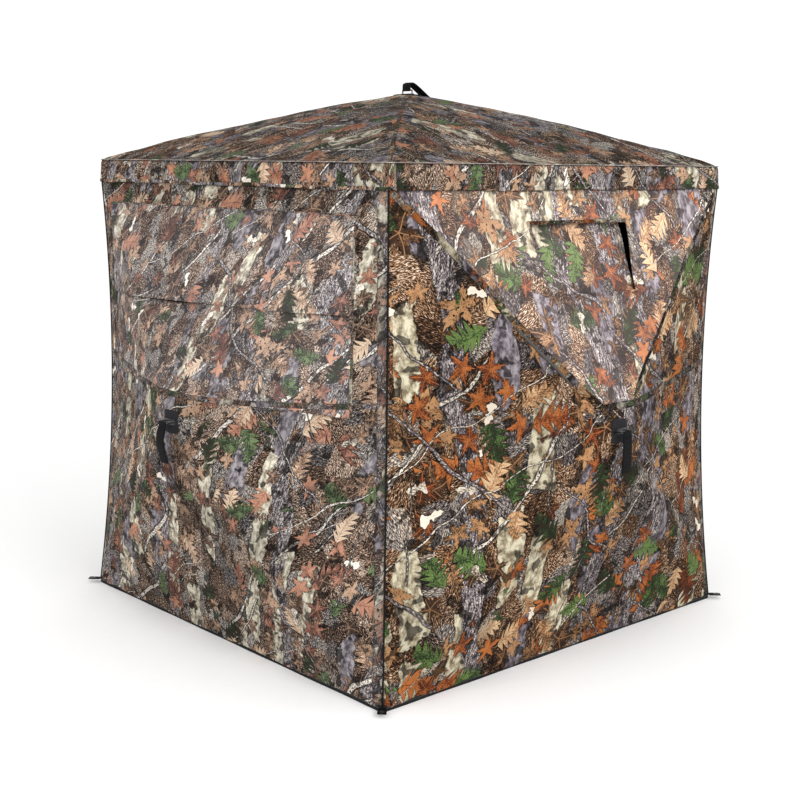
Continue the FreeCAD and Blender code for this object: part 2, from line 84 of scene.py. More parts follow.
WALLS = {"front": 0, "right": 90, "back": 180, "left": -90}


def cad_points(node):
    return np.array([v.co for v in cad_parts[node].data.vertices])


def corner_of(node):
    """The highest X, Y and Z that a node reaches."""
    return np.array(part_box(node)[1])


def poles_of(name):
    return [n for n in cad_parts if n.startswith(name) and n.endswith("_pole")]


def directions(a, b):
    """Unit vectors along the line a-b and to its left."""
    a, b = np.array(a, float), np.array(b, float)
    d = (b - a) / np.linalg.norm(b - a)
    return d, np.array([-d[1], d[0]])


def turns(count):
    return np.arange(count) * 2 * math.pi / count


def upright(flat, height=0.0):
    """Points or directions on the ground, with a height as their third number."""
    return np.column_stack([flat, 0 * flat[:, 0] + height])


# ---- the five faces ----
WALL_POINTS = cad_points("front_wall")
WALL_TOP = WALL_POINTS[:, 2].max()
BASE_HALF = corner_of("hem")[0] - HEM_T / 2
TOP_HALF = np.abs(WALL_POINTS[WALL_POINTS[:, 2] > WALL_TOP - 0.002][:, 0]).max()
LEAN = math.atan2(BASE_HALF - TOP_HALF, WALL_TOP)
ROOF_HALF = corner_of("roof")[0]
EAVE_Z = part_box("roof")[0][2] + FABRIC
VALANCE_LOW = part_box("valance")[0][2]


class Face:
    """One face of the cabin, drawn flat as (u, v) and lifted to its stretched shape."""

    def __init__(self, name, origin, axes, corners, bow):
        self.name = name
        self.origin = np.array(origin, float)
        self.axes = np.array(axes, float)
        self.corners = np.array(corners, float)
        self.top = self.corners[2][1]
        self.bow = bow
        patch = self.local(cad_points(f"{name}_hub_patch"))
        self.hub = np.array([0.0, (patch[:, 1].min() + patch[:, 1].max()) / 2])
        self.bulge = patch[:, 2].min() - CLEAR
        self.hole = HUB_HOLE / self.corners[1][0]
        self.patch = (patch[:, 0].max(), patch[:, 2].min(), patch[:, 2].max())
        self.bar = self.local(cad_points(f"{name}_hub_fasteners"))[:, 2].max() - BAIL_R
        tips = []
        for pole in poles_of(name):
            points = self.local(cad_points(pole))[:, :2]
            tips.append(points[np.linalg.norm(points - self.hub, axis=1).argmax()])
        self.still = self.shares(np.array(tips)).min(axis=1).max() + TIP_ROOM

    def local(self, points):
        return (points - self.origin) @ self.axes.T

    def world(self, points):
        return self.origin + np.asarray(points, float) @ self.axes

    def half(self, v):
        low, high = self.corners[1], self.corners[2]
        return low[0] + (high[0] - low[0]) * (v - low[1]) / (high[1] - low[1])

    def shares(self, uv):
        """How far each point is from the four edges, as shares of the hub's distance."""
        out = []
        for i in range(4):
            a = self.corners[i]
            _, n = directions(a, self.corners[(i + 1) % 4])
            out.append((uv - a) @ n / ((self.hub - a) @ n))
        return np.stack(out, axis=1)

    def weight(self, uv):
        """0 out where the poles' tips stay and 1 at the hub: a point's share of its travel."""
        share = self.shares(uv).min(axis=1) - self.still
        return np.clip(share / (1 - self.hole - self.still), 0, 1)

    def height(self, uv):
        """How far the stretched cloth stands out from the flat face."""
        share = self.shares(uv)
        soft = -np.log(np.exp(-RIDGE_SHARP * share).sum(axis=1)) / RIDGE_SHARP
        rise = np.clip(soft / (1 - self.hole), 0, 1)
        ranked = np.sort(share, axis=1)
        off_ridge = 1 - ranked[:, 0] / np.maximum(ranked[:, 1], 1e-4)
        hollow = GORE_HOLLOW * off_ridge * 4 * rise * (1 - rise)
        side = np.minimum(share[:, 1], share[:, 3])
        ends = np.maximum(np.minimum(share[:, 0], share[:, 2]), 1e-4)
        drawn = self.drawn(uv[:, 1]) * np.clip(1 - side / ends, 0, 1) ** 2
        arch = ROOF_ARCH * 4 * rise * (1 - rise) if self.name == "roof" else 0.0
        return self.bulge * rise + arch - hollow - drawn + wrinkles(self, uv, rise)

    def drawn(self, v):
        """How far the corner seams are drawn in at height v."""
        t = np.clip(v / self.top, 0, 1)
        return self.bow * 4 * t * (1 - t)

    def place(self, uv, lift=0.0):
        """Points of the face's cloth in the frame's own space, lift above its outer side."""
        uv = np.asarray(uv, float).reshape(-1, 2)
        h = self.height(uv) + lift
        u = uv[:, 0] * (1 - self.drawn(uv[:, 1]) / self.half(uv[:, 1]))
        v = uv[:, 1]
        if self.name == "roof":
            u, v = rounded(u, v)
        return self.world(np.stack([u, v, h], axis=1))


def rounded(u, v):
    """Points of a square drawn in at its corners, so that its outline is rounded there."""
    core = ROOF_HALF - EAVE_ROUND
    p, q = np.maximum(np.abs(u) - core, 0), np.maximum(np.abs(v) - core, 0)
    far = np.hypot(p, q)
    k = np.where((p > 0) & (q > 0), np.maximum(p, q) / np.maximum(far, 1e-9), 1.0)
    return (np.sign(u) * (np.minimum(np.abs(u), core) + p * k),
            np.sign(v) * (np.minimum(np.abs(v), core) + q * k))


def waves(uv, seed, longest, count=7):
    """A smooth uneven field of about -1 to 1, the same on every run."""
    rng = np.random.default_rng(seed)
    total = np.zeros(len(uv))
    for _ in range(count):
        angle, phase = rng.uniform(0, 2 * math.pi, 2)
        k = 2 * math.pi / (longest * rng.uniform(0.35, 1.0))
        along = uv[:, 0] * math.cos(angle) + uv[:, 1] * math.sin(angle)
        total += np.sin(k * along + phase)
    return total / math.sqrt(count)


def crease(uv, a, b, depth, width):
    """A fold from a to b: a valley with a shoulder on each side."""
    a, b = np.array(a), np.array(b)
    d = b - a
    t = (uv - a) @ d / (d @ d)
    off = (uv - a) @ np.array([-d[1], d[0]]) / np.linalg.norm(d) / width
    fade = np.clip(t / 0.25, 0, 1) * np.clip((1 - t) / 0.15, 0, 1)
    return depth * fade * (0.5 * np.exp(-(np.abs(off) - 2.2) ** 2) - np.exp(-off ** 2))


# Folds as (from, to, depth, width), in each wall's flat (u, v).
CREASES = {
    "front": [((-0.44, 1.12), (-0.06, 0.72), 0.020, 0.026),
              ((-0.32, 0.86), (-0.05, 0.69), 0.008, 0.018),
              ((-0.60, 0.50), (-0.08, 0.66), 0.006, 0.024),
              ((0.58, 0.30), (0.10, 0.62), 0.007, 0.022)],
    "left": [((-0.55, 0.42), (-0.08, 0.64), 0.004, 0.020),
             ((0.50, 0.25), (0.09, 0.60), 0.004, 0.022)],
    "back": [((-0.50, 0.95), (-0.08, 0.76), 0.005, 0.018)],
    "right": [((-0.52, 0.38), (-0.08, 0.63), 0.004, 0.020),
              ((0.47, 0.30), (0.09, 0.62), 0.005, 0.020)],
    "roof": [],
}


def wrinkles(face, uv, rise):
    """Unevenness, pulls that run out from the hub and the corners, and creases.

    They die out at the seams and at the hub, where rise is 0 and 1."""
    seed = sum(ord(c) for c in face.name)
    inner = np.clip(rise / 0.05, 0, 1) * np.clip((1 - rise) / 0.06, 0, 1)
    total = 0.0022 * waves(uv, seed, 0.55) + 0.0008 * waves(uv, seed + 1, 0.16, 9)
    # Each centre has the depth of its pulls, how far they reach, and how many there are.
    spokes = [(face.hub, 0.0020, 0.30, 13)] + [(c, 0.0026, 0.20, 26) for c in face.corners]
    for centre, depth, reach, count in spokes:
        d = uv - centre
        r = np.hypot(d[:, 0], d[:, 1])
        angle = np.arctan2(d[:, 1], d[:, 0])
        pull = np.cos(count * angle + 2.0 * np.sin(3 * angle) + seed)
        total = total + depth * pull * np.exp(-r / reach) * (1 - np.exp(-r / 0.05))
    below_edge = np.exp(-(face.top - uv[:, 1]) / 0.07)
    total = total + 0.0016 * below_edge * np.sin(uv[:, 0] * 41 + 3 * np.sin(uv[:, 0] * 9))
    for fold in CREASES[face.name]:
        total = total + crease(uv, *fold)
    return total * inner


def wall_face(name, turn):
    c, s = math.cos(math.radians(turn)), math.sin(math.radians(turn))
    spin = np.array([[c, -s, 0], [s, c, 0], [0, 0, 1]])
    up = (0, math.sin(LEAN), math.cos(LEAN))
    out = (0, -math.cos(LEAN), math.sin(LEAN))
    top = WALL_TOP / math.cos(LEAN)
    corners = [(-BASE_HALF, 0), (BASE_HALF, 0), (TOP_HALF, top), (-TOP_HALF, top)]
    axes = [spin @ np.array(axis) for axis in ((1, 0, 0), up, out)]
    return Face(name, spin @ np.array([0, -BASE_HALF, 0]), axes, corners, SEAM_BOW)


def roof_face():
    h = ROOF_HALF
    return Face("roof", (0, 0, EAVE_Z), [(0, 1, 0), (-1, 0, 0), (0, 0, 1)],
                [(-h, -h), (h, -h), (h, h), (-h, h)], 0.0)


FACES = {name: wall_face(name, turn) for name, turn in WALLS.items()}
FACES["roof"] = roof_face()
# Where each face's cloth is cut from the print, so that no two faces show the same leaves.
PRINT_SHIFT = {"front": 0.0, "right": 1.63, "back": 3.37, "left": 5.21, "roof": 7.3}


# ---- flat patterns ----
def cut(poly, a, b):
    """The part of a convex polygon on the left of the line a-b."""
    out = []
    side = [(b[0] - a[0]) * (p[1] - a[1]) - (b[1] - a[1]) * (p[0] - a[0]) for p in poly]
    for i, p in enumerate(poly):
        q, s, t = poly[(i + 1) % len(poly)], side[i], side[(i + 1) % len(poly)]
        if s >= -1e-12:
            out.append(p)
        if (s > 1e-12 and t < -1e-12) or (s < -1e-12 and t > 1e-12):
            k = s / (s - t)
            out.append((p[0] + k * (q[0] - p[0]), p[1] + k * (q[1] - p[1])))
    return out if len(out) > 2 else []


def inside(poly, outline):
    """The part of poly that lies inside a convex outline."""
    for i, a in enumerate(outline):
        poly = poly and cut(poly, a, outline[(i + 1) % len(outline)])
    return poly


def outside(poly, hole):
    """The convex parts of poly that lie outside a convex hole."""
    parts = []
    for i, a in enumerate(hole):
        b = hole[(i + 1) % len(hole)]
        part = cut(poly, b, a)
        if part:
            parts.append(part)
        poly = cut(poly, a, b)
        if not poly:
            break
    return parts


def area(poly):
    return 0.5 * sum(p[0] * q[1] - p[1] * q[0] for p, q in zip(poly, poly[1:] + poly[:1]))


def lines(low, high, forced):
    """Grid lines from low to high about GRID apart, through each forced value."""
    stops = sorted({low, high, *[f for f in forced if low < f < high]})
    out = [stops[0]]
    for a, b in zip(stops, stops[1:]):
        out += list(np.linspace(a, b, max(1, round((b - a) / GRID)) + 1)[1:])
    return out


def pattern(outline, holes=()):
    """Points, faces and area of a flat cut, divided by a grid."""
    outline = [tuple(map(float, p)) for p in outline]
    holes = [[tuple(map(float, p)) for p in h] for h in holes]
    marks = [p for h in [outline, *holes] for p in h]
    us, vs = (lines(min(p[k] for p in outline), max(p[k] for p in outline), [p[k] for p in marks])
              for k in (0, 1))
    points, index, faces, total = [], {}, [], 0.0
    for u0, u1 in zip(us, us[1:]):
        for v0, v1 in zip(vs, vs[1:]):
            parts = [inside([(u0, v0), (u1, v0), (u1, v1), (u0, v1)], outline)]
            for hole in holes:
                parts = [q for p in parts if p for q in outside(p, hole)]
            for part in parts:
                if not part or area(part) < 1e-9:
                    continue
                face = []
                for p in part:
                    key = (round(p[0], 6), round(p[1], 6))
                    if key not in index:
                        index[key] = len(points)
                        points.append(p)
                    if index[key] not in face:
                        face.append(index[key])
                if len(face) > 2:
                    faces.append(face)
                    total += area(part)
    return np.array(points), faces, total


# ---- mesh builders ----
def mesh_object(name, points, faces, material, uvs=None, smooth=True):
    mesh = bpy.data.meshes.new(name)
    mesh.from_pydata([tuple(p) for p in np.asarray(points, float)], [], faces)
    loops = np.array([loop.vertex_index for loop in mesh.loops])
    for layer, uv in (uvs or {}).items():
        mesh.uv_layers.new(name=layer).data.foreach_set("uv", np.asarray(uv)[loops].ravel())
    mesh.materials.append(material)
    if smooth:
        mesh.shade_smooth()
    made = bpy.data.objects.new(name, mesh)
    bpy.context.scene.collection.objects.link(made)
    return made


def thicken(piece, thick, lining=None):
    """Solid cloth: the outer side stays, the lining is its inner side."""
    if lining is not None:
        piece.data.materials.append(lining)
    solid = piece.modifiers.new("thickness", "SOLIDIFY")
    solid.thickness = thick
    solid.offset = -1.0
    solid.use_even_offset = False
    solid.material_offset = 0 if lining is None else 1


def settle(piece, body, slot, *nodes):
    """The piece rides on its body and stands for its CAD nodes, if it has any."""
    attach(piece, body)
    if nodes:
        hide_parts(*nodes)


def join_hub(piece, face, share):
    """The piece's place is baked into its mesh.

    The cloth is stretched straight from the edges to the hub, so its share of the hub's travel grows
    evenly with the distance from the edge; share, which gives it, is not used."""
    edge = face.world([0.0, face.corners[0][1], 0.0])
    hub = face.world([*face.hub, face.bulge])
    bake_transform(piece)


def join_panel(piece, face, uv):
    """The piece's place is baked into its mesh. How far each point would follow the window's gore as
    it turns about its upper seam, with the poles' tips holding its corners back, is worked out but not
    used.
    """
    seam = face.world([0.0, face.top, 0.0])
    hub = face.world([*face.hub, face.bulge])
    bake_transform(piece)
    rigid = face.shares(uv)[:, 2].clip(0.001)
    np.clip(face.weight(uv) / rigid, 0, 1)


def join_face(piece, face, uv, body=None):
    """The piece moves with its body; without a body, or on the window's panel, its place is only baked
    into its mesh.
    """
    if body == "front_window_panel":
        join_panel(piece, face, uv)
    elif body:
        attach(piece, body)
    else:
        join_hub(piece, face, face.weight(uv))


def print_place(face, uv, shift=(0.0, 0.0)):
    """Where on the print a face's points are cut from."""
    return uv + np.array([PRINT_SHIFT[face.name] + shift[0], shift[1]])


def cloth(name, face, outline, material, stands_for, holes=(), lift=None, body=None,
          lining=None, thick=FABRIC, sag=None):
    """A sheet of cloth lying on a face."""
    uv, faces, flat_area = pattern(outline, holes)
    hung = uv if sag is None else uv - np.column_stack([0 * uv[:, 0], sag(uv)])
    points = face.place(hung, 0.0 if lift is None else lift(uv))
    piece = mesh_object(name, points, faces, material, {"cloth": print_place(face, uv), "seam": uv})
    thicken(piece, thick, lining)
    join_face(piece, face, uv, body)
    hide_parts(stands_for)
    width, length = uv.max(axis=0) - uv.min(axis=0)
    full = flat_area > 0.999 * width * length


def resample(path, step):
    path = np.array(path, float)
    along = np.concatenate([[0], np.cumsum(np.linalg.norm(np.diff(path, axis=0), axis=1))])
    at = np.linspace(0, along[-1], max(2, round(along[-1] / step) + 1))
    return np.stack([np.interp(at, along, path[:, k]) for k in range(path.shape[1])], axis=1)


def smoothed(path):
    """A path with its corners cut off three times over, so that it bends smoothly."""
    path = [np.array(p, float) for p in path]
    for _ in range(3):
        inner = []
        for a, b in zip(path, path[1:]):
            inner += [a + 0.25 * (b - a), a + 0.75 * (b - a)]
        path = [path[0]] + inner[1:-1] + [path[-1]]
    return np.array(path)


def tangents(path, closed=False):
    if closed:
        d = np.roll(path, -1, axis=0) - np.roll(path, 1, axis=0)
    else:
        d = np.gradient(path, axis=0)
    return d / np.maximum(np.linalg.norm(d, axis=1), 1e-12)[:, None]


def skin_rings(count, size, closed=False):
    """Faces between rings of points, with an end face on each open end."""
    faces = []
    for i in range(count if closed else count - 1):
        a, b = i * size, ((i + 1) % count) * size
        for k in range(size):
            j = (k + 1) % size
            faces.append([a + k, a + j, b + j, b + k])
    if not closed:
        faces.append(list(range(size))[::-1])
        faces.append([(count - 1) * size + k for k in range(size)])
    return faces


# Cross-section of a tape as shares of its width and thickness.
TAPE_RING = [(-0.5, 0.0), (-0.15, 0.0), (0.15, 0.0), (0.5, 0.0),
             (0.47, 0.8), (0.42, 1.0), (0.15, 1.0), (-0.15, 1.0), (-0.42, 1.0), (-0.47, 0.8)]


def tape(name, face, path, width, material, thick, body=None, wobble=0.0,
         shift=TAPE_SHIFT):
    """A tape sewn flat on the face's cloth along a path."""
    centre = resample(path, TAPE_STEP)
    along = np.arange(len(centre)) * TAPE_STEP
    t = tangents(centre)
    side = np.stack([-t[:, 1], t[:, 0]], axis=1)
    centre = centre + side * (wobble * np.sin(along * 31 + 2 * np.sin(along * 7)))[:, None]
    uv, lift, seam = [], [], []
    for x, y in TAPE_RING:
        uv.append(centre - side * (x * width))
        lift.append(np.full(len(centre), y * (thick + TAPE_SINK) - TAPE_SINK))
        seam.append(np.stack([along, np.full(len(centre), x * width)], axis=1))
    uv, seam = (np.stack(a, axis=1).reshape(-1, 2) for a in (uv, seam))
    lift = np.stack(lift, axis=1).ravel()
    faces = skin_rings(len(centre), len(TAPE_RING))
    piece = mesh_object(name, face.place(uv, lift), faces, material,
                        {"cloth": print_place(face, uv, shift), "seam": seam})
    join_face(piece, face, uv, body)
    return piece


def sweep(name, path, outward, ring, material, closed=False, printed=None):
    """A ring of (sideways, outwards) points carried along a path.

    printed is where on the print it is cut from."""
    path = np.array(path, float)
    t = tangents(path, closed)
    outward = np.broadcast_to(np.asarray(outward, float), path.shape)
    out = outward - t * (outward * t).sum(axis=1)[:, None]
    out /= np.maximum(np.linalg.norm(out, axis=1), 1e-12)[:, None]
    side = np.cross(t, out)
    points = np.stack([path + side * x + out * y for x, y in ring], axis=1).reshape(-1, 3)
    step = np.linalg.norm(np.diff(path, axis=0, append=path[:1] if closed else path[-1:]), axis=1)
    along = np.concatenate([[0], np.cumsum(step)])[:len(path)]
    seam = np.stack([np.repeat(along, len(ring)),
                     np.tile([x for x, _ in ring], len(path))], axis=1)
    faces = skin_rings(len(path), len(ring), closed)
    on_print = seam if printed is None else np.array(printed) + seam * [1, -1]
    return mesh_object(name, points, faces, material, {"seam": seam, "cloth": on_print})


def joined(name, pieces):
    """Several meshes as one piece."""
    bpy.ops.object.select_all(action="DESELECT")
    for piece in pieces:
        piece.select_set(True)
    bpy.context.view_layer.objects.active = pieces[0]
    bpy.ops.object.join()
    pieces[0].name = name
    pieces[0].data.name = name
    return pieces[0]


def disc_ring(radius, count=8):
    return [(radius * math.cos(a), radius * math.sin(a)) for a in turns(count)]


def band_ring(width, thick, count=4):
    """Outline of flat webbing with rounded selvedges, as (sideways, outwards)."""
    r = thick / 2
    bend = np.linspace(-math.pi / 2, math.pi / 2, count + 1)
    right = [(width / 2 - r + r * math.cos(a), r * math.sin(a)) for a in bend]
    return right + [(-x, -y) for x, y in right]


# ---- node arithmetic ----
class Wire:
    """A node's output that arithmetic can be written with."""

    def __init__(self, tree, socket):
        self.tree = tree
        self.socket = socket

    def __add__(self, other):
        return calc("ADD", self, other)

    def __sub__(self, other):
        return calc("SUBTRACT", self, other)

    def __rsub__(self, other):
        return calc("SUBTRACT", other, self)

    def __mul__(self, other):
        return calc("MULTIPLY", self, other)

    def __truediv__(self, other):
        return calc("DIVIDE", self, other)

    def __abs__(self):
        return calc("ABSOLUTE", self)

    __radd__ = __add__
    __rmul__ = __mul__


def feed(tree, socket, term):
    if isinstance(term, Wire):
        tree.links.new(term.socket, socket)
    else:
        socket.default_value = term


def node(tree, kind, outputs=(0,), inputs=None, **settings):
    """A node with its settings and inputs; its outputs come back as wires."""
    made = tree.nodes.new(kind)
    for key, value in settings.items():
        setattr(made, key, value)
    for key, value in (inputs or {}).items():
        feed(tree, made.inputs[key], value)
    wires = [Wire(tree, made.outputs[o]) for o in outputs]
    return wires[0] if len(wires) == 1 else wires


def tree_of(terms):
    return next(t.tree for t in terms if isinstance(t, Wire))


def calc(operation, *terms, clamp=False):
    return node(tree_of(terms), "ShaderNodeMath", inputs=dict(enumerate(terms)),
                operation=operation, use_clamp=clamp)


def below(x, edge, soft):
    """1 where x is under edge, 0 above it, over a soft step."""
    return calc("MULTIPLY_ADD", edge - x, 1.0 / soft, 0.5, clamp=True)


def above(x, edge, soft):
    """1 where x is over edge, 0 below it, over a soft step."""
    return calc("MULTIPLY_ADD", x - edge, 1.0 / soft, 0.5, clamp=True)


def vector(operation, *terms):
    return node(tree_of(terms), "ShaderNodeVectorMath", inputs=dict(enumerate(terms)),
                operation=operation)


def scaled(p, x, y):
    return vector("MULTIPLY", p, (x, y, 1.0))


def turned(p, angle):
    return node(p.tree, "ShaderNodeVectorRotate", inputs={"Vector": p, "Angle": angle},
                rotation_type="Z_AXIS")


def xy(p):
    return node(p.tree, "ShaderNodeSeparateXYZ", outputs=(0, 1), inputs={0: p})


def noise(p, scale, detail=2.0, rough=0.5, colour=False):
    """Flat noise of the given scale per metre."""
    return node(p.tree, "ShaderNodeTexNoise", outputs=(1,) if colour else (0,),
                inputs={"Vector": p, "Scale": scale, "Detail": detail, "Roughness": rough},
                noise_dimensions="2D")


def cells(p, size, spread=0.9):
    """Random cells about size apart: three random values, and the place within the cell."""
    place, colour = node(p.tree, "ShaderNodeTexVoronoi", outputs=("Position", "Color"),
                         inputs={"Vector": p, "Scale": 1.0 / size, "Randomness": spread},
                         voronoi_dimensions="2D")
    rgb = node(p.tree, "ShaderNodeSeparateColor", outputs=(0, 1, 2), inputs={0: colour})
    return rgb, vector("SUBTRACT", p, place)


def bands(x, size, spread=1.0):
    """Random lines about size apart along x: distance to the nearest, and two random values."""
    far, colour = node(x.tree, "ShaderNodeTexVoronoi", outputs=("Distance", "Color"),
                       inputs={"W": x, "Scale": 1.0 / size, "Randomness": spread},
                       voronoi_dimensions="1D")
    rgb = node(x.tree, "ShaderNodeSeparateColor", outputs=(0, 1), inputs={0: colour})
    return far * size, rgb


def mixed(share, a, b, blend="MIX"):
    return node(tree_of((share, a, b)), "ShaderNodeMix", outputs=(2,),
                inputs={0: share, 6: a, 7: b}, data_type="RGBA", blend_type=blend)


def ramp(x, stops):
    """A colour that runs through (place, colour) stops as x grows."""
    made = x.tree.nodes.new("ShaderNodeValToRGB")
    line = made.color_ramp
    while len(line.elements) < len(stops):
        line.elements.new(0.5)
    for element, (place, colour) in zip(line.elements, stops):
        element.position = place
        element.color = colour
    feed(x.tree, made.inputs[0], x)
    return Wire(x.tree, made.outputs[0])


def shade(*rgb):
    """A colour given in display values of 0 to 255, as the shader's linear colour."""
    return tuple(((c / 255 + 0.055) / 1.055) ** 2.4 if c > 10 else c / 3294 for c in rgb) + (1.0,)


def linear(r, g=None, b=None):
    """A colour given in linear values, grey where only one is given."""
    return (r, r if g is None else g, r if b is None else b, 1.0)


FULL_TURN = 6.283
BLACK = shade(16, 12, 10)
EARTH = shade(52, 37, 28)
BROWN = shade(98, 69, 48)
TAN = shade(176, 132, 92)
STRAW = shade(208, 176, 138)
CREAM = shade(226, 214, 196)
RUST = shade(132, 70, 40)
DEEP_RUST = shade(78, 38, 24)
ORANGE = shade(178, 108, 58)
BEIGE = shade(150, 138, 120)
BARK_DARK = shade(44, 39, 42)
BARK = shade(98, 90, 95)
BARK_LIGHT = shade(156, 148, 152)
GREEN = shade(50, 64, 38)
DEEP_GREEN = shade(28, 38, 26)
FRESH_GREEN = shade(98, 120, 66)


# ---- the camouflage print ----
# Sizes are in metres, noise scales are per metre and angles are in radians.
def litter(p):
    """Ground of short strokes, each patch of them lying its own way."""
    (r, g, b), at = cells(p, 0.070, 1.0)
    strokes = noise(scaled(turned(at, r * FULL_TURN), 420.0, 95.0), 1.0, 2.5, 0.65)
    tone = strokes + (g - 0.5) * 0.14
    warm = ramp(tone, [(0.36, BLACK), (0.47, EARTH), (0.55, BROWN), (0.63, TAN), (0.71, CREAM)])
    cool = ramp(tone, [(0.34, BLACK), (0.44, BARK_DARK), (0.52, BARK), (0.61, BEIGE), (0.70, CREAM)])
    return mixed(above(b, 0.56, 0.1), warm, cool)


def blocks(p, colour):
    """Tall plain blocks between the leaves: pale sky or bare, greyer wood.

    Like the layers below, it is laid over the colour it is given, on a soft dark edge."""
    (r, g, b), at = cells(scaled(p, 1.0, 0.46), 0.135, 0.75)
    x, y = xy(turned(at, (g - 0.5) * 0.5))
    ragged = noise(p, 26.0, 3.0, 0.65) * 0.030 - 0.015
    edge = calc("MAXIMUM", abs(x) - 0.040, abs(y) - 0.060) + ragged
    there = below(r, 0.60, 0.01)
    mottle = noise(scaled(p, 1.0, 0.7), 44.0, 3.0, 0.7)
    pale = ramp(mottle, [(0.34, shade(116, 104, 84)), (0.48, shade(164, 153, 128)),
                         (0.62, shade(206, 197, 172))])
    wood = ramp(mottle, [(0.34, shade(66, 60, 64)), (0.50, shade(112, 104, 110)),
                         (0.64, shade(150, 142, 146))])
    face = mixed(above(b, 0.64, 0.01), pale, wood)
    dark = mixed(below(edge, 0.005, 0.010) * there * 0.7, colour, BLACK)
    return mixed(below(edge, 0.0, 0.0015) * there, dark, face)


def trunks(p, colour):
    """Slanting trunks with short, broken furrows in the bark."""
    x, y = xy(p)
    lean = noise(scaled(p, 0.4, 1.0), 2.1, 1.0)
    across = x + lean * 0.22 + y * 0.12
    far, (r, g) = bands(across, 0.36)
    width = g * 0.034 + 0.026
    ragged = noise(scaled(p, 60.0, 30.0), 1.0, 2.0) * 0.022 - 0.011
    furrow = noise(scaled(p, 170.0, 44.0), 1.0, 3.0, 0.7)
    grain = noise(scaled(p, 620.0, 170.0), 1.0, 1.0)
    bark = ramp(furrow * 0.55 + grain * 0.45 + (noise(p, 9.0, 1.0) - 0.5) * 0.12,
                [(0.37, BLACK), (0.44, BARK_DARK), (0.51, shade(96, 84, 84)), (0.58, BARK_LIGHT),
                 (0.66, CREAM)])
    side = far + ragged - width
    there = below(r, 0.66, 0.01)
    dark = mixed(below(side, 0.008, 0.016) * there * 0.7, colour, BLACK)
    return mixed(below(side, 0.0, 0.002) * there, dark, bark)


def sticks(p, colour, angle, spacing, width, light, reach, seed):
    """Branches that lie at one angle, broken off where a slow noise says so."""
    q = turned(p, angle)
    x, _ = xy(q)
    bend = noise(q, 3.4, 1.0) * 0.12
    far, (r, g) = bands(x + bend + seed, spacing)
    taper = noise(vector("ADD", scaled(q, 1.0, 0.45), (seed * 7.0, 0.0, 0.0)), 4.6, 0.0)
    side = far - (g * 0.6 + 0.6) * width + noise(q, 90.0) * width * 0.5
    there = above(taper + (r - 0.5) * 0.10, reach, 0.01)
    speck = noise(scaled(q, 260.0, 110.0), 1.0, 2.0, 0.7)
    wood = ramp(speck, [(0.34, BLACK), (0.44, BARK), (0.54, light), (0.70, CREAM)])
    dark = mixed(below(side, width * 0.55, width * 0.5) * there * 0.85, colour, BLACK)
    return mixed(below(side, 0.0, width * 0.25) * there, dark, wood)


def leaves(p, colour, size, share, kind, tones, seed, clump=0.0, fleck=0.0):
    """One leaf in each of a share of the cells: oak, maple or flake.

    Its edge is below 0 inside the leaf and its rib is 0 along the veins."""
    moved = vector("ADD", p, (seed * 1.37, seed * 0.71, 0.0))
    (r, g, b), at = cells(moved, size, 0.85)
    local = turned(at, r * FULL_TURN)
    x, y = xy(local)
    long = size * 0.50
    t = x / long
    jitter = noise(vector("ADD", local, (seed * 3.1, 0.0, 0.0)), 1.6 / size, 3.0, 0.6) - 0.5
    if kind == "oak":
        room = calc("SQRT", calc("MAXIMUM", 1.0 - t * t, 0.0))
        spine = abs(y + t * t * (0.12 * size) - 0.03 * size)
        swept = t * 2.7 - spine / (0.34 * size) + r
        lobes = calc("POWER", 1.0 - abs(calc("FRACT", swept) - 0.5) * 2.0, 0.8)
        edge = spine - room * (lobes * 0.30 + 0.055) * size + jitter * (0.10 * size)
        rib = calc("MINIMUM", spine, abs(calc("FRACT", swept) - 0.5) * 0.20 * size + spine * 0.04)
    elif kind == "maple":
        angle = calc("ARCTAN2", y, x)
        radius = calc("SQRT", x * x + y * y)
        point = calc("POWER", 1.0 - abs(calc("FRACT", angle * 0.7958 + 0.5) - 0.5) * 2.0, 1.25)
        teeth = abs(calc("FRACT", angle * 3.979) - 0.5) * 0.34
        edge = radius - (point * 0.60 + 0.24 + teeth) * long + jitter * (0.34 * size)
        rib = radius * abs(calc("SINE", angle * 2.5)) * 0.4
    else:
        radius = calc("SQRT", x * x * 0.5 + y * y * 6.0)
        edge = radius - long * 0.34 + jitter * (2.2 * size)
        rib = abs(y) + size
    there = below(b, share, 0.005)
    if clump:
        there = there * above(noise(moved, 3.1, 1.0), clump, 0.02)
    mottle = noise(local, 2.6 / size, 3.0, 0.6)
    grain = noise(vector("ADD", scaled(local, 1.0, 2.2), (0.0, seed, 0.0)), 150.0, 2.0, 0.7)
    face = ramp(mottle * 0.5 + grain * 0.5 + (g - 0.5) * 0.24,
                [(0.34, EARTH), (0.40, tones[0]), (0.50, tones[1]), (0.60, tones[2])])
    ribs = below(rib, 0.008 * size, 0.012 * size) * 0.75
    face = mixed(ribs, face, tones[2] if kind == "maple" else tones[0])
    if fleck:
        face = mixed(above(noise(local, 62.0, 1.0), fleck, 0.02) * 0.95, face, BLACK)
    rim = above(edge, -0.020 * size, 0.03 * size)
    face = mixed(rim * 0.4, face, tones[0])
    dark = mixed(below(edge, 0.050 * size, 0.08 * size) * there * 0.9, colour, BLACK)
    return mixed(below(edge, 0.0, 0.010 * size) * there, dark, face)


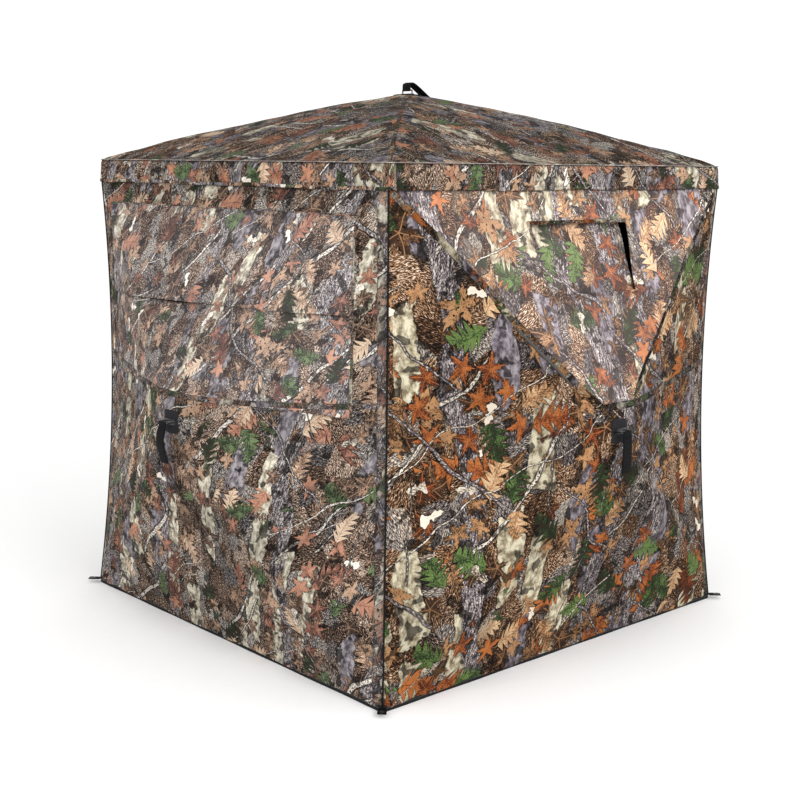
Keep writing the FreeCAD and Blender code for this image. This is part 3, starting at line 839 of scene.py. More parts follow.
def camo_print():
    """Node group: a woodland print, drawn life size from coordinates in metres."""
    tree = bpy.data.node_groups.new("camo_print", "ShaderNodeTree")
    tree.interface.new_socket("Vector", in_out="INPUT", socket_type="NodeSocketVector")
    tree.interface.new_socket("Color", in_out="OUTPUT", socket_type="NodeSocketColor")
    plane = Wire(tree, tree.nodes.new("NodeGroupInput").outputs[0])
    drift = vector("SUBTRACT", noise(plane, 7.0, 2.0, colour=True), (0.5, 0.5, 0.5))
    p = vector("ADD", plane, vector("MULTIPLY", drift, (0.035, 0.035, 0.035)))
    # The layers lie one over the other, from the ground up.
    colour = litter(p)
    colour = blocks(p, colour)
    colour = trunks(p, colour)
    colour = leaves(p, colour, 0.080, 0.34, "maple", (EARTH, BROWN, TAN), 1.0)
    colour = sticks(p, colour, 0.72, 0.30, 0.0085, CREAM, 0.50, 0.3)
    shadows = above(noise(p, 17.0, 2.0, 0.6), 0.61, 0.03)
    colour = mixed(shadows * 0.8, colour, BLACK)
    colour = leaves(p, colour, 0.150, 0.34, "oak", (DEEP_RUST, RUST, ORANGE), 2.0, 0.47)
    colour = leaves(p, colour, 0.135, 0.30, "maple", (EARTH, BROWN, TAN), 3.0, 0.48, 0.66)
    colour = leaves(p, colour, 0.095, 0.38, "maple", (DEEP_RUST, RUST, ORANGE), 4.0, 0.50)
    colour = leaves(p, colour, 0.120, 0.28, "oak", (BROWN, TAN, STRAW), 5.0, 0.50)
    colour = leaves(p, colour, 0.120, 0.34, "oak", (DEEP_GREEN, GREEN, FRESH_GREEN), 6.0, 0.45)
    colour = leaves(p, colour, 0.115, 0.10, "flake", (BEIGE, CREAM, CREAM), 7.0)
    colour = sticks(p, colour, -0.85, 0.27, 0.0050, BARK, 0.52, 1.7)
    colour = sticks(p, colour, 1.05, 0.30, 0.0026, CREAM, 0.53, 2.9)
    colour = sticks(p, colour, 0.15, 0.36, 0.0030, BARK_DARK, 0.52, 4.1)
    tone = noise(plane, 3.3, 2.0) * 0.9 + 0.58
    grey = node(tree, "ShaderNodeCombineColor", inputs={0: tone, 1: tone, 2: tone})
    colour = mixed(1.0, colour, grey, "MULTIPLY")
    out = tree.nodes.new("NodeGroupOutput")
    tree.links.new(colour.socket, out.inputs[0])
    return tree


# ---- materials ----
def material(name, roughness, specular, metallic=0.0):
    """A new material, its node tree and its shader."""
    made = bpy.data.materials.new(name)
    made.use_nodes = True
    tree = made.node_tree
    shader = tree.nodes["Principled BSDF"]
    shader.inputs["Roughness"].default_value = roughness
    shader.inputs["Metallic"].default_value = metallic
    shader.inputs["Specular IOR Level"].default_value = specular
    return made, tree, shader


def uv_map(tree, name):
    return node(tree, "ShaderNodeUVMap", uv_map=name)


def grain(tree, scale, detail=2.0):
    """Noise in a solid piece's own coordinates."""
    place = node(tree, "ShaderNodeTexCoord", outputs=(3,))
    return node(tree, "ShaderNodeTexNoise",
                inputs={"Vector": place, "Scale": scale, "Detail": detail})


def finish(tree, shader, colour, height=None, distance=0.0, strength=1.0, rough=None):
    """The shader's colour, fine relief and roughness."""
    feed(tree, shader.inputs["Base Color"], colour)
    if rough is not None:
        feed(tree, shader.inputs["Roughness"], rough)
    if height is not None:
        relief = node(tree, "ShaderNodeBump", inputs={"Strength": strength, "Distance": distance,
                                                      "Height": height})
        feed(tree, shader.inputs["Normal"], relief)


def weave(p, pitch):
    """Height of a plain weave of the given thread spacing."""
    x, y = xy(p)
    k = math.pi / pitch
    over = calc("SINE", x * k) * calc("SINE", y * k)
    warp = abs(calc("SINE", x * k * 2))
    weft = abs(calc("SINE", y * k * 2))
    return above(over, 0.0, 0.6) * warp + below(over, 0.0, 0.6) * weft


def stitches(seam, rows, pitch=0.0045):
    """1 on the threads of stitch rows that run along a seam at the given offsets."""
    along, across = xy(seam)
    dash = below(abs(calc("FRACT", along / pitch) - 0.5), 0.34, 0.1)
    total = None
    for row in rows:
        line = below(abs(across - row), 0.00055, 0.0005)
        total = line if total is None else calc("MAXIMUM", total, line)
    return total * dash


def camo(name, light, size=1.0, lean=0.0, fade=0.0, haze=None, sat=1.0, turn=0.0, net=False,
         rows=None):
    """Printed cloth, or printed net, all cut from the one print of the blind. light scales a copy's
    brightness and sat its colour; for the cloth of the side walls, the roof and the valance, and for
    the darker tapes, these paint light and shade.
    """
    made, tree, shader = material(name, 0.82, 0.04)
    place = uv_map(tree, "cloth")
    plane = turned(place, turn) if turn else place
    if lean:
        x, y = xy(plane)
        plane = node(tree, "ShaderNodeCombineXYZ", inputs={0: x - y * lean, 1: y})
    plane = scaled(plane, 1.0 / size, 1.0 / size)
    colour = node(tree, "ShaderNodeGroup", inputs={0: plane}, node_tree=PRINT)
    colour = node(tree, "ShaderNodeHueSaturation",
                  inputs={"Color": colour, "Saturation": sat, "Value": light})
    if fade:
        colour = mixed(fade, colour, haze)
    threads = weave(place, 0.0022 if net else 0.0011)
    colour = mixed(threads * 0.12, colour, linear(0.02, 0.018, 0.016))
    height = threads
    if rows:
        line = stitches(uv_map(tree, "seam"), rows)
        colour = mixed(line * 0.75, colour, linear(0.03, 0.026, 0.022))
        height = height - line * 2.0
    finish(tree, shader, colour, height, 0.00025, rough=noise(place, 16.0) * 0.18 + 0.68)
    return made


def plain_cloth(name, dark, light, roughness, pitch=0.0014, rows=None):
    """Unprinted woven stuff, such as binding, webbing and the black lining."""
    made, tree, shader = material(name, roughness, 0.06)
    place = uv_map(tree, "seam")
    threads = weave(place, pitch)
    colour = mixed(threads * 0.7 + noise(place, 60.0) * 0.3, dark, light)
    height = threads
    if rows:
        line = stitches(place, rows)
        colour = mixed(line * 0.8, colour, linear(0.16, 0.15, 0.14))
        height = height + line * 1.4
    finish(tree, shader, colour, height, 0.0003)
    return made


def moulded(name, dark, light, roughness):
    """Moulded plastic or rolled fibreglass with a fine uneven surface."""
    made, tree, shader = material(name, roughness, 0.4)
    fine = grain(tree, 420.0, 3.0)
    finish(tree, shader, mixed(grain(tree, 24.0), dark, light), fine, 0.0002, 0.6,
           fine * 0.15 + (roughness - 0.08))
    return made


def metal(name):
    """Plated steel with fine turning marks and dull spots."""
    made, tree, shader = material(name, 0.3, 0.5, metallic=1.0)
    spots = grain(tree, 40.0)
    finish(tree, shader, mixed(spots, linear(0.045, b=0.048), linear(0.15, b=0.155)),
           grain(tree, 300.0, 4.0), 0.0001, 0.5, spots * 0.25 + 0.20)
    return made


PRINT = camo_print()
NET_HAZE = shade(184, 168, 168)
# One print on every face. The light and sat of the side walls', the roof's and the valance's copies
# are painted light and shade: the roof darker and duller, the valance and the side walls lighter and
# duller than the front, as each is seen in its light.
CAMO_FRONT = camo("camo_front", 1.02)
CAMO_SIDE = camo("camo_side", 1.1, size=0.78, lean=0.30, sat=0.74)
CAMO_ROOF = camo("camo_roof", 0.80, size=0.85, turn=0.7, sat=0.80)
CAMO_VALANCE = camo("camo_valance", 1.12, size=0.8, lean=0.2, sat=0.78)
CAMO_NET = camo("camo_net", 1.6, size=0.95, fade=0.12, haze=NET_HAZE, sat=0.95, net=True)
CAMO_SIDE_NET = camo("camo_side_net", 1.38, size=0.70, lean=0.34, fade=0.09,
                     haze=shade(158, 150, 154), sat=0.70, net=True)
# CAMO_TAPE, CAMO_SIDE_TAPE, CAMO_ROOF_TAPE and CAMO_FRONT_TAPE are darker copies of the print than the
# cloth they lie on: painted shade along the raised tapes.
CAMO_TAPE = camo("camo_tape", 0.66, size=0.8, rows=(-0.0065, 0.0065))
CAMO_EDGE = camo("camo_edge", 1.35, size=0.95, fade=0.10, haze=NET_HAZE)
CAMO_SIDE_TAPE = camo("camo_side_tape", 0.85, size=0.7, lean=0.3, sat=0.7, fade=0.1,
                      haze=shade(110, 104, 110), rows=(-0.0105, 0.0105))
CAMO_ROOF_TAPE = camo("camo_roof_tape", 0.62, size=0.8, turn=0.7, fade=0.1,
                      haze=shade(70, 62, 62), rows=(-0.004, 0.004))
CAMO_FRONT_TAPE = camo("camo_front_tape", 0.48, size=0.9, sat=0.7, rows=(-0.007, 0.007))
EAVE_PIPING = camo("eave_piping", 1.1, size=0.8, sat=0.6, fade=0.4, haze=shade(190, 184, 180))
LINING = plain_cloth("black_lining", linear(0.004), linear(0.010), 0.9)
BINDING = plain_cloth("black_binding", linear(0.008, b=0.009), linear(0.026, 0.025), 0.7,
                      rows=(0.0,))
PIPING = plain_cloth("black_piping", linear(0.005), linear(0.014, b=0.015), 0.6)
WEBBING = plain_cloth("black_webbing", linear(0.0025, b=0.003), linear(0.009, b=0.010), 0.65,
                      pitch=0.0022)
PATCH = plain_cloth("charcoal_patch", linear(0.010, b=0.012), linear(0.028, b=0.032), 0.6,
                    pitch=0.0012)
ZIP_TAPE = plain_cloth("zip_tape", linear(0.012), linear(0.030), 0.7, rows=(-0.0085, 0.0085))
ROD = moulded("fibreglass_rod", linear(0.035, 0.033, 0.030), linear(0.075, 0.070, 0.062), 0.38)
PLASTIC = moulded("black_plastic", linear(0.012), linear(0.024, b=0.025), 0.42)
STEEL = metal("plated_steel")
COIL = moulded("zip_coil", linear(0.010), linear(0.028), 0.35)


# ---- walls and roof ----
def local_box(face, name):
    """Lowest and highest (u, v, h) of a CAD node on a face."""
    points = face.local(cad_points(name))
    return points.min(axis=0), points.max(axis=0)


def on_line(a, b, v):
    """Where the line a-b is at height v."""
    k = (v - a[1]) / (b[1] - a[1])
    return (a[0] + k * (b[0] - a[0]), v)


def offset_line(a, b, by):
    """The line a-b moved to its left."""
    _, n = directions(a, b)
    return np.array(a, float) + n * by, np.array(b, float) + n * by


def meet(a, b, c, d):
    """Where the lines a-b and c-d cross."""
    a, b, c, d = (np.array(p, float) for p in (a, b, c, d))
    e, f = b - a, d - c
    k = ((c[0] - a[0]) * f[1] - (c[1] - a[1]) * f[0]) / (e[0] * f[1] - e[1] * f[0])
    return tuple(a + k * e)


def build_roof():
    """The roof's cloth, and a tape up each of its seams."""
    face = FACES["roof"]
    cloth("roof_cloth", face, face.corners, CAMO_ROOF, "roof", lining=LINING)
    for k, corner in enumerate(face.corners):
        path = [face.hub + (corner - face.hub) * share for share in (0.06, 0.975)]
        tape(f"roof_seam_{k + 1}", face, path, 0.012, CAMO_ROOF_TAPE, thick=0.0008)


def rounded_square(half, radius):
    """A closed path round a square with rounded corners, and the way outwards at each point."""
    points, out = [], []
    count = max(2, round(2 * (half - radius) / RING_STEP))
    for side in range(4):
        a = math.pi / 2 * side
        c, s = math.cos(a), math.sin(a)
        for k in range(count):
            x = -(half - radius) + 2 * (half - radius) * k / count
            points.append((c * x + s * half, s * x - c * half))
            out.append((s, -c))
        for k in range(8):
            b = -math.pi / 2 + math.pi / 2 * k / 8
            x, y = half - radius + radius * math.cos(b), -(half - radius) + radius * math.sin(b)
            points.append((c * x - s * y, s * x + c * y))
            out.append((c * math.cos(b) - s * math.sin(b), s * math.cos(b) + c * math.sin(b)))
    return np.array(points), np.array(out)


def build_valance():
    """Skirt that hangs from the eave, with piping above it and a turned up lower edge."""
    ring, out = rounded_square(ROOF_HALF, EAVE_ROUND)
    drop = EAVE_Z - VALANCE_LOW
    rows = np.linspace(0, 1, 9)
    along = np.arange(len(ring)) * RING_STEP
    sway = 0.0032 * np.sin(along * 13 + 2 * np.sin(along * 5)) + 0.0018 * np.sin(along * 37 + 1)
    points, uv = [], []
    for t in rows:
        tuck = 0.0030 * (1 - math.sqrt(max(0.0, 1 - (1 - min(1.0, t * 6)) ** 2)))
        reach = 0.0022 * t + sway * t ** 1.5 - tuck
        uneven = (0.0016 * np.sin(along * 11) + 0.0009 * np.sin(along * 29)) * t
        low = EAVE_Z - 0.0005 - drop * t + uneven
        points.append(np.column_stack([ring + out * reach[:, None], low]))
        uv.append(np.column_stack([along + 9.1, 1.0 - drop * t + 0 * along]))
    n, m = len(rows), len(ring)
    points = np.stack(points, axis=1).reshape(-1, 3)
    uv = np.stack(uv, axis=1).reshape(-1, 2)
    faces = [[i * n + k + 1, ((i + 1) % m) * n + k + 1, ((i + 1) % m) * n + k, i * n + k]
             for i in range(m) for k in range(n - 1)]
    band = mesh_object("valance_band", points, faces, CAMO_VALANCE, {"cloth": uv, "seam": uv})
    thicken(band, 0.0014)
    settle(band, "root", "camo_cloth", "valance")
    eave = sweep("eave_seam", upright(ring + out * 0.0004, EAVE_Z + 0.0006), upright(out),
                 disc_ring(0.0011), EAVE_PIPING, closed=True)
    settle(eave, "root", "binding")
    low = points.reshape(m, n, 3)[:, -1] + upright(out * 0.0002, 0.004)
    hem = sweep("valance_hem", low, upright(out),
                [(-0.0045, 0.0), (0.0045, 0.0), (0.0042, 0.0007), (-0.0042, 0.0007)],
                CAMO_VALANCE, closed=True, printed=(9.1, 1.004 - drop))
    settle(hem, "root", "camo_cloth")


def build_hem():
    """Folded binding that stands on the ground round the foot of the walls."""
    ring, out = rounded_square(BASE_HALF, HEM_ROUND)
    sway = 0.0007 * np.sin(np.arange(len(ring)) * RING_STEP * 23)
    h, t = corner_of("hem")[2] / 2, HEM_T / 2
    profile = [(h, 0.4 * t), (0.92 * h, t), (0.25 * h, 1.25 * t), (-0.5 * h, 1.25 * t), (-0.92 * h, t),
               (-h, 0.3 * t), (-h, -0.3 * t), (-0.92 * h, -t), (0.92 * h, -t), (h, -0.4 * t)]
    hem = sweep("ground_hem", upright(ring + out * sway[:, None], h), upright(out), profile,
                BINDING, closed=True)
    settle(hem, "root", "binding", "hem")


def build_corner_seams():
    """Black piping down each corner and, beside it, the raised fell of its seam."""
    hem_top = corner_of("hem")[2]
    for name in WALLS:
        face = FACES[name]
        v = np.linspace(hem_top - 0.004, face.top - 0.003, 90)
        seam = face.place(np.column_stack([face.half(v), v]))
        out = upright(seam[:, :2])
        out /= np.linalg.norm(out, axis=1)[:, None]
        bead = sweep(f"{name}_corner_piping", seam + out * 0.0008, out, disc_ring(PIPING_R), PIPING)
        settle(bead, "root", "binding")
        v = np.linspace(hem_top, face.top - 0.004, 60)
        path = np.column_stack([face.half(v) - 0.0035 - FELL / 2, v])
        if name != "back":     # the door is sewn in along that one
            tape(f"{name}_corner_fell", face, path, FELL, CAMO_SIDE_TAPE, thick=0.0018)


def side_slit(face, u):
    """Height of the upper mesh's lower edge, which lies a little out of level."""
    middle = local_box(face, f"{face.name}_upper_mesh")[0][1] - 0.005
    return middle + 0.0205 * u


def build_side_wall(name):
    """A side wall with its two meshes, lapped at the shooting slit, and the tape by the hub."""
    face = FACES[name]
    bottom = local_box(face, f"{name}_lower_mesh")[0][1]
    half, top, _ = local_box(face, f"{name}_upper_mesh")[1]
    corners = [(-half, bottom), (half, bottom), (half, top), (-half, top)]
    cloth(f"{name}_wall_cloth", face, face.corners, CAMO_SIDE, f"{name}_wall",
          holes=[corners], lining=LINING)
    slit_left, slit_right = side_slit(face, -half), side_slit(face, half)

    def gape(u):
        """Where the slit gapes: 1 left of the hub, less near the right end."""
        return np.exp(-((u + 0.16) / 0.20) ** 4) + 0.8 * np.exp(-((u - 0.50) / 0.16) ** 4)

    def upper_lift(uv):
        near = np.exp(-np.maximum(uv[:, 1] - side_slit(face, uv[:, 0]), 0) / 0.030)
        return 0.0008 + near * (0.0018 + 0.0065 * gape(uv[:, 0]))

    def lower_lift(uv):
        near = np.exp(-np.abs(uv[:, 1] - side_slit(face, uv[:, 0])) / 0.035)
        return -near * (0.0030 + 0.0060 * gape(uv[:, 0]))

    def lower_sag(uv):
        drop = np.maximum(side_slit(face, uv[:, 0]) + SLIT_LAP - uv[:, 1], 0)
        return (SLIT_LAP + 0.0045) * gape(uv[:, 0]) * np.exp(-(drop / 0.05) ** 2)

    upper = [(-half, slit_left), (half, slit_right), *corners[2:]]
    lower = [*corners[:2], (half, slit_right + SLIT_LAP), (-half, slit_left + SLIT_LAP)]
    for part, outline, lift, sag in (("upper", upper, upper_lift, None),
                                     ("lower", lower, lower_lift, lower_sag)):
        cloth(f"{name}_{part}_mesh_cloth", face, outline, CAMO_SIDE_NET, f"{name}_{part}_mesh",
              lift=lift, thick=NET, sag=sag)
    seams = corners[1:] + corners[:1]
    for k, ends in enumerate(zip(seams, seams[1:])):
        tape(f"{name}_mesh_seam_{k + 1}", face, ends, 0.008, CAMO_SIDE_TAPE, thick=0.0006)
    u = np.linspace(-0.70, 0.70, 60)
    path = np.column_stack([u, bottom + 0.034 * (np.abs(u) / 0.62) ** 2])
    tape(f"{name}_hub_tape", face, path, HUB_TAPE, CAMO_SIDE_TAPE, thick=0.0013)


def front_panel(face):
    """The front's top gore above the tape by the hub."""
    low, high = local_box(face, "front_mesh")
    bottom, half = low[1], high[0]
    left, right = (np.array([s * face.corners[2][0], face.top]) for s in (-1, 1))
    hub = face.hub
    knee = [on_line(hub, c, bottom) for c in (left, right)]
    cut_at = [meet(hub, c, (s * half, 0), (s * half, 1)) for c, s in ((right, 1), (left, -1))]
    return [knee[0], knee[1], cut_at[0], (half, face.top), (-half, face.top), cut_at[1]]


def window_outline(face):
    """The window's opening, inside its binding; it narrows a little downwards."""
    tape_low, tape_high = local_box(face, "front_window_tape")
    high_half = tape_high[0] - WINDOW_TAPE
    low_half = high_half - 0.012
    low, high = tape_low[1] + WINDOW_TAPE, tape_high[1] - WINDOW_TAPE
    return [(-low_half, low), (low_half, low), (high_half, high), (-high_half, high)]


def build_front():
    """The front wall, the mesh of its top gore, the window's binding and flap, and the tapes."""
    face = FACES["front"]
    panel = front_panel(face)
    window = window_outline(face)
    cloth("front_wall_cloth", face, face.corners, CAMO_FRONT, "front_wall",
          holes=[panel], lining=LINING)
    cloth("front_mesh_cloth", face, panel, CAMO_NET, "front_mesh", holes=[window],
          body="front_window_panel", thick=NET)
    for k in range(4):
        a, b = np.array(window[k]), np.array(window[(k + 1) % 4])
        d, n = directions(a, b)
        path = [a - n * WINDOW_TAPE * 0.5 - d * WINDOW_TAPE * 0.8,
                b - n * WINDOW_TAPE * 0.5 + d * WINDOW_TAPE * 0.8]
        top = k == 2
        tape(f"front_window_tape_{k + 1}", face, path, WINDOW_TAPE,
                           CAMO_TAPE if top else CAMO_EDGE, shift=TAPE_SHIFT if top else (0, 0),
                           thick=0.0012 + 0.0003 * (k % 2), body="front_window_panel")
    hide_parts("front_window_tape")
    build_front_flap(face, window)
    hub = face.hub
    left, right = face.corners[3], face.corners[2]
    bottom = panel[0][1]
    knee = on_line(hub, left, bottom)[0]
    diagonal = smoothed([left * 0.985 + hub * 0.015, on_line(hub, left, bottom + 0.05),
                         (knee + 0.012, bottom - 0.002), hub + np.array([-0.030, 0.034])])
    tape("front_diagonal_tape", face, diagonal, 0.021, CAMO_TAPE, thick=0.0022, wobble=0.0006)
    other = [right * 0.985 + hub * 0.015, on_line(hub, right, bottom + 0.01)]
    tape("front_right_seam", face, other, 0.014, CAMO_FRONT_TAPE, thick=0.0010)
    u = np.linspace(knee, 0.70, 60)
    level = np.column_stack([u, bottom - 0.006 + 0.038 * np.clip((u - 0.10) / 0.5, 0, 2) ** 1.2])
    tape("front_hub_tape", face, level, 0.020, CAMO_FRONT_TAPE, thick=0.0020)


def build_front_flap(face, window):
    """Flap that closes the window from inside: it stands at its foot and leans in above."""
    low, high = window[0][1] - FLAP_LAP, window[2][1] + 0.004
    outline = [(window[0][0] - FLAP_LAP, low), (window[1][0] + FLAP_LAP, low),
               (window[2][0] + 0.004, high), (window[3][0] - FLAP_LAP * 0.4, high)]

    def hang(uv):
        t = (uv[:, 1] - low) / (high - low)
        across = (uv[:, 0] - window[3][0]) / (window[2][0] - window[3][0])
        lean = 0.013 + 0.016 * t + 0.006 * across * t
        fold = crease(uv, (-0.19, 1.21), (-0.02, 1.09), 0.010, 0.020)
        second = crease(uv, (-0.05, 1.27), (0.16, 1.12), 0.004, 0.022)
        return -lean + fold + second + 0.0015 * waves(uv, 5, 0.25)

    cloth("front_flap_cloth", face, outline, CAMO_NET, "front_window_flap",
          lift=hang, body="front_window_flap")


def door_outline(face, held_back, hub_end, low, high, edge):
    """Outline of a piece of the door's gore, held back from its slanting sides."""
    a, b = offset_line(face.hub, face.corners[1], held_back)
    c, d = offset_line(face.corners[2], face.hub, held_back)
    side = offset_line(face.corners[1], face.corners[2], edge)
    return [meet(a, b, (hub_end, 0), (hub_end, 1)), meet(a, b, (0, low), (1, low)),
            meet(*side, (0, low), (1, low)), meet(*side, (0, high), (1, high)),
            meet(c, d, (0, high), (1, high)), meet(c, d, (hub_end, 0), (hub_end, 1))]


def door_cloth(face, name, outline, near, far):
    """A part of the door, its place baked into its mesh; how far each point lies between two distances
    from the seam it is sewn into is worked out but not used."""
    uv, faces, flat_area = pattern(outline)
    piece = mesh_object(name, face.place(uv), faces, CAMO_FRONT,
                        {"cloth": print_place(face, uv), "seam": uv})
    thicken(piece, FABRIC, LINING)
    start, end = (face.place([(face.half(face.hub[1]) - d, face.hub[1])])[0] for d in (near, far))
    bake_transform(piece)
    np.clip((face.half(uv[:, 1]) - near - uv[:, 0]) / (far - near), 0, 1)
    width, length = uv.max(axis=0) - uv.min(axis=0)
    return piece


def build_back():
    """The back wall, and the door in its gore: selvage, leaf, zip tape and the zip's coil."""
    face = FACES["back"]
    zip_low, zip_high = local_box(face, "back_door_zip")
    hub_end, low, high = zip_low[0], zip_low[1], zip_high[1]
    hole = door_outline(face, 0.0, hub_end, low, high, 0.0)
    cloth("back_wall_cloth", face, face.corners, CAMO_FRONT, "back_wall",
          holes=[hole], lining=LINING)
    held_back, end = SEAM_GAP + ZIP_W + DOOR_GAP, hub_end + ZIP_W + 0.002
    leaf = door_outline(face, held_back, end, low, high, DOOR_SELVAGE)
    whole = door_outline(face, held_back, end, low, high, DOOR_GAP)
    door_cloth(face, "back_door_selvage_cloth", [leaf[2], whole[2], whole[3], leaf[3]],
               0.002, DOOR_SELVAGE)
    door = door_cloth(face, "back_door_cloth", leaf,
                      DOOR_SELVAGE, DOOR_SELVAGE + DOOR_BEND)
    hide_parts("back_door")
    middle = door_outline(face, SEAM_GAP + ZIP_W / 2, hub_end + ZIP_W / 2, low, high, DOOR_EDGE)
    path = [middle[1], middle[0], middle[5], middle[4]]
    for k, (a, b) in enumerate(zip(path, path[1:])):
        d, _ = directions(a, b)
        ends = [a - d * (0.0 if k == 0 else 0.009), b + d * (0.0 if k == 2 else 0.009)]
        tape(f"back_door_zip_tape_{k + 1}", face, ends, ZIP_W + 0.005, ZIP_TAPE,
                           thick=0.0009 + 0.0002 * (k % 2), body="back_door_frame")
    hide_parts("back_door_zip")
    settle(zip_teeth(face, path), "back_door_frame", "zip_tape")


def zip_teeth(face, path):
    """The zip's coil: short blocks either side of its middle line, one after the other."""
    pitch, long, wide, high, foot = 0.0042, 0.0032, 0.0022, 0.0014, 0.0006
    feet = []
    for a, b in zip(path, path[1:]):
        d, n = directions(a, b)
        for i in range(int(math.dist(a, b) / pitch)):
            mid = a + d * pitch * (i + 0.5) + n * (wide * 0.42 if i % 2 else -wide * 0.42)
            feet.append([mid + d * x * long / 2 + n * y * wide / 2
                         for x, y in ((-1, -1), (1, -1), (1, 1), (-1, 1))])
    uv = np.array(feet).reshape(-1, 2)
    low, top = face.place(uv, foot), face.place(uv, foot + high)
    count = len(uv)
    points = np.concatenate([low, top])
    faces = []
    for i in range(0, count, 4):
        q = [i, i + 1, i + 2, i + 3]
        t = [k + count for k in q]
        faces += [q[::-1], t] + [[q[k], q[(k + 1) % 4], t[(k + 1) % 4], t[k]] for k in range(4)]
    return mesh_object("back_door_zip_teeth", points, faces, COIL, smooth=False)


# ---- hubs, straps and pockets ----
def build_patch(face):
    """Square reinforcement with rounded corners and a pressed rim, over the hole in the cloth.

    Its edge droops with the cloth that slopes away from the hub."""
    half, low, high = face.patch
    n = 20     # squares along a side
    t = np.linspace(-1, 1, n + 1)
    a, b = (g.ravel() for g in np.meshgrid(t, t, indexing="ij"))
    edge = np.maximum(abs(a), abs(b))
    cornered = (np.hypot(a, b) / np.maximum(edge, 1e-9) - 1) / 0.414
    pull = 1 - 0.055 * cornered
    u, v = a * half * pull, b * half * pull
    rim = np.clip((1 - edge) / 0.12, 0, 1)
    h = high - 0.0011 * (1 - rim) ** 2 - 0.0003 * np.sin(9 * a) * np.cos(7 * b) * rim
    droop = high - 0.0075 * np.clip((edge - 0.35) / 0.65, 0, 1) ** 1.3
    over_cloth = face.height(np.column_stack([u, v + face.hub[1]])) + 0.0022
    h = np.minimum(h, np.maximum(droop, over_cloth))
    faces = [[i * (n + 1) + j, (i + 1) * (n + 1) + j, (i + 1) * (n + 1) + j + 1, i * (n + 1) + j + 1]
             for i in range(n) for j in range(n)]
    uv = np.column_stack([u, v])
    points = face.world(np.column_stack([u, v + face.hub[1], h]))
    patch = mesh_object(f"{face.name}_patch", points, faces, PATCH, {"seam": uv, "cloth": uv})
    thicken(patch, high - low)
    settle(patch, f"{face.name}_hub", "patch", f"{face.name}_hub_patch")


def strap_path(face):
    """Side view (v, h) of the strap's webbing from the crossbar, over it and down to its end."""
    r = BAIL_R + 0.0013
    if face.name == "roof":
        return [(0.004, -r), (r, -0.001), (0.004, 0.010), (0.003, 0.020), (-0.006, 0.0225),
                (-0.020, 0.018), (-0.045, 0.003), (-0.070, -0.013), (-0.084, -0.0215)]
    sway = {"left": 0.008, "front": 0.002, "right": 0.004, "back": -0.003}[face.name]
    down = [(-0.010 - 0.108 * k / 8, r * 0.4 + sway * math.sin(k / 8 * 4.2)) for k in range(9)]
    return [(-0.004, -r), (0.001, -r), (r, 0.0), (0.001, r)] + down


def build_strap(face):
    """Pull strap: webbing round the crossbar, its two layers sewn together below it."""
    path = resample(smoothed(strap_path(face)), 0.0022)
    points = face.world(np.column_stack([0 * path[:, 0], path[:, 0] + face.hub[1],
                                         path[:, 1] + face.bar]))
    layer = np.cross(np.broadcast_to(face.axes[0], points.shape), tangents(points))
    outer = sweep(f"{face.name}_strap_outer", points, layer, band_ring(STRAP_W, 0.0016), WEBBING)
    below_bar = layer[14:]
    inner = sweep(f"{face.name}_strap_inner", points[14:] - below_bar * 0.0019, below_bar,
                  band_ring(STRAP_W * 0.97, 0.0015), WEBBING)
    strap = joined(f"{face.name}_strap_webbing", [outer, inner])
    settle(strap, f"{face.name}_pull_strap", "webbing", f"{face.name}_pull_strap")


def sleeve(face, name, tip, out):
    """A sewn tube round a pole's tip, open at both ends and a little narrower outwards."""
    stations = [(-0.012, 0.0098), (-0.004, 0.0094), (0.004, 0.0088), (0.012, 0.0082)]
    up = face.axes[2]
    side = np.cross(out @ face.axes, up)
    bend = turns(14)
    rings = []
    for grow, order in ((0.0016, stations), (0.0, stations[::-1])):
        for s, r in order:
            rings += [face.world(tip + out * s)
                      + (side * math.cos(a) * 1.06 + up * math.sin(a) * 0.96) * (r + grow)
                      for a in bend]
    seam = np.tile(np.column_stack([bend * 0.010, 0 * bend]), (2 * len(stations), 1))
    faces = skin_rings(2 * len(stations), len(bend), closed=True)
    return mesh_object(name, rings, faces, WEBBING, {"seam": seam, "cloth": seam})


def build_pockets():
    """The sleeves in the corners that the poles' tips sit in, joined into one piece for each face and
    baked in place.
    """
    for face in FACES.values():
        made, tips, outs = [], [], []
        for pole in poles_of(face.name):
            points = face.local(cad_points(pole))
            far = np.linalg.norm(points[:, :2] - face.hub, axis=1)
            tip = points[far > far.max() - 0.002].mean(axis=0)
            reach = np.linalg.norm(tip[:2] - face.hub)
            out = np.array([*(tip[:2] - face.hub), 0.0]) / reach
            made.append(sleeve(face, f"{face.name}_pocket_{len(made)}", tip, out))
            tips.append(tip[:2])
            outs.append(out[:2] / reach)
        pockets = joined(f"{face.name}_pole_pockets", made)
        points = np.array([vertex.co[:] for vertex in pockets.data.vertices])
        back = np.array(tips) - face.local(points)[:, None, :2]
        own = np.linalg.norm(back, axis=2).argmin(axis=1)
        share = (back[np.arange(len(own)), own] * np.array(outs)[own]).sum(axis=1)
        join_hub(pockets, face, np.clip(share, 0, 1))
        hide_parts("corner_pockets")


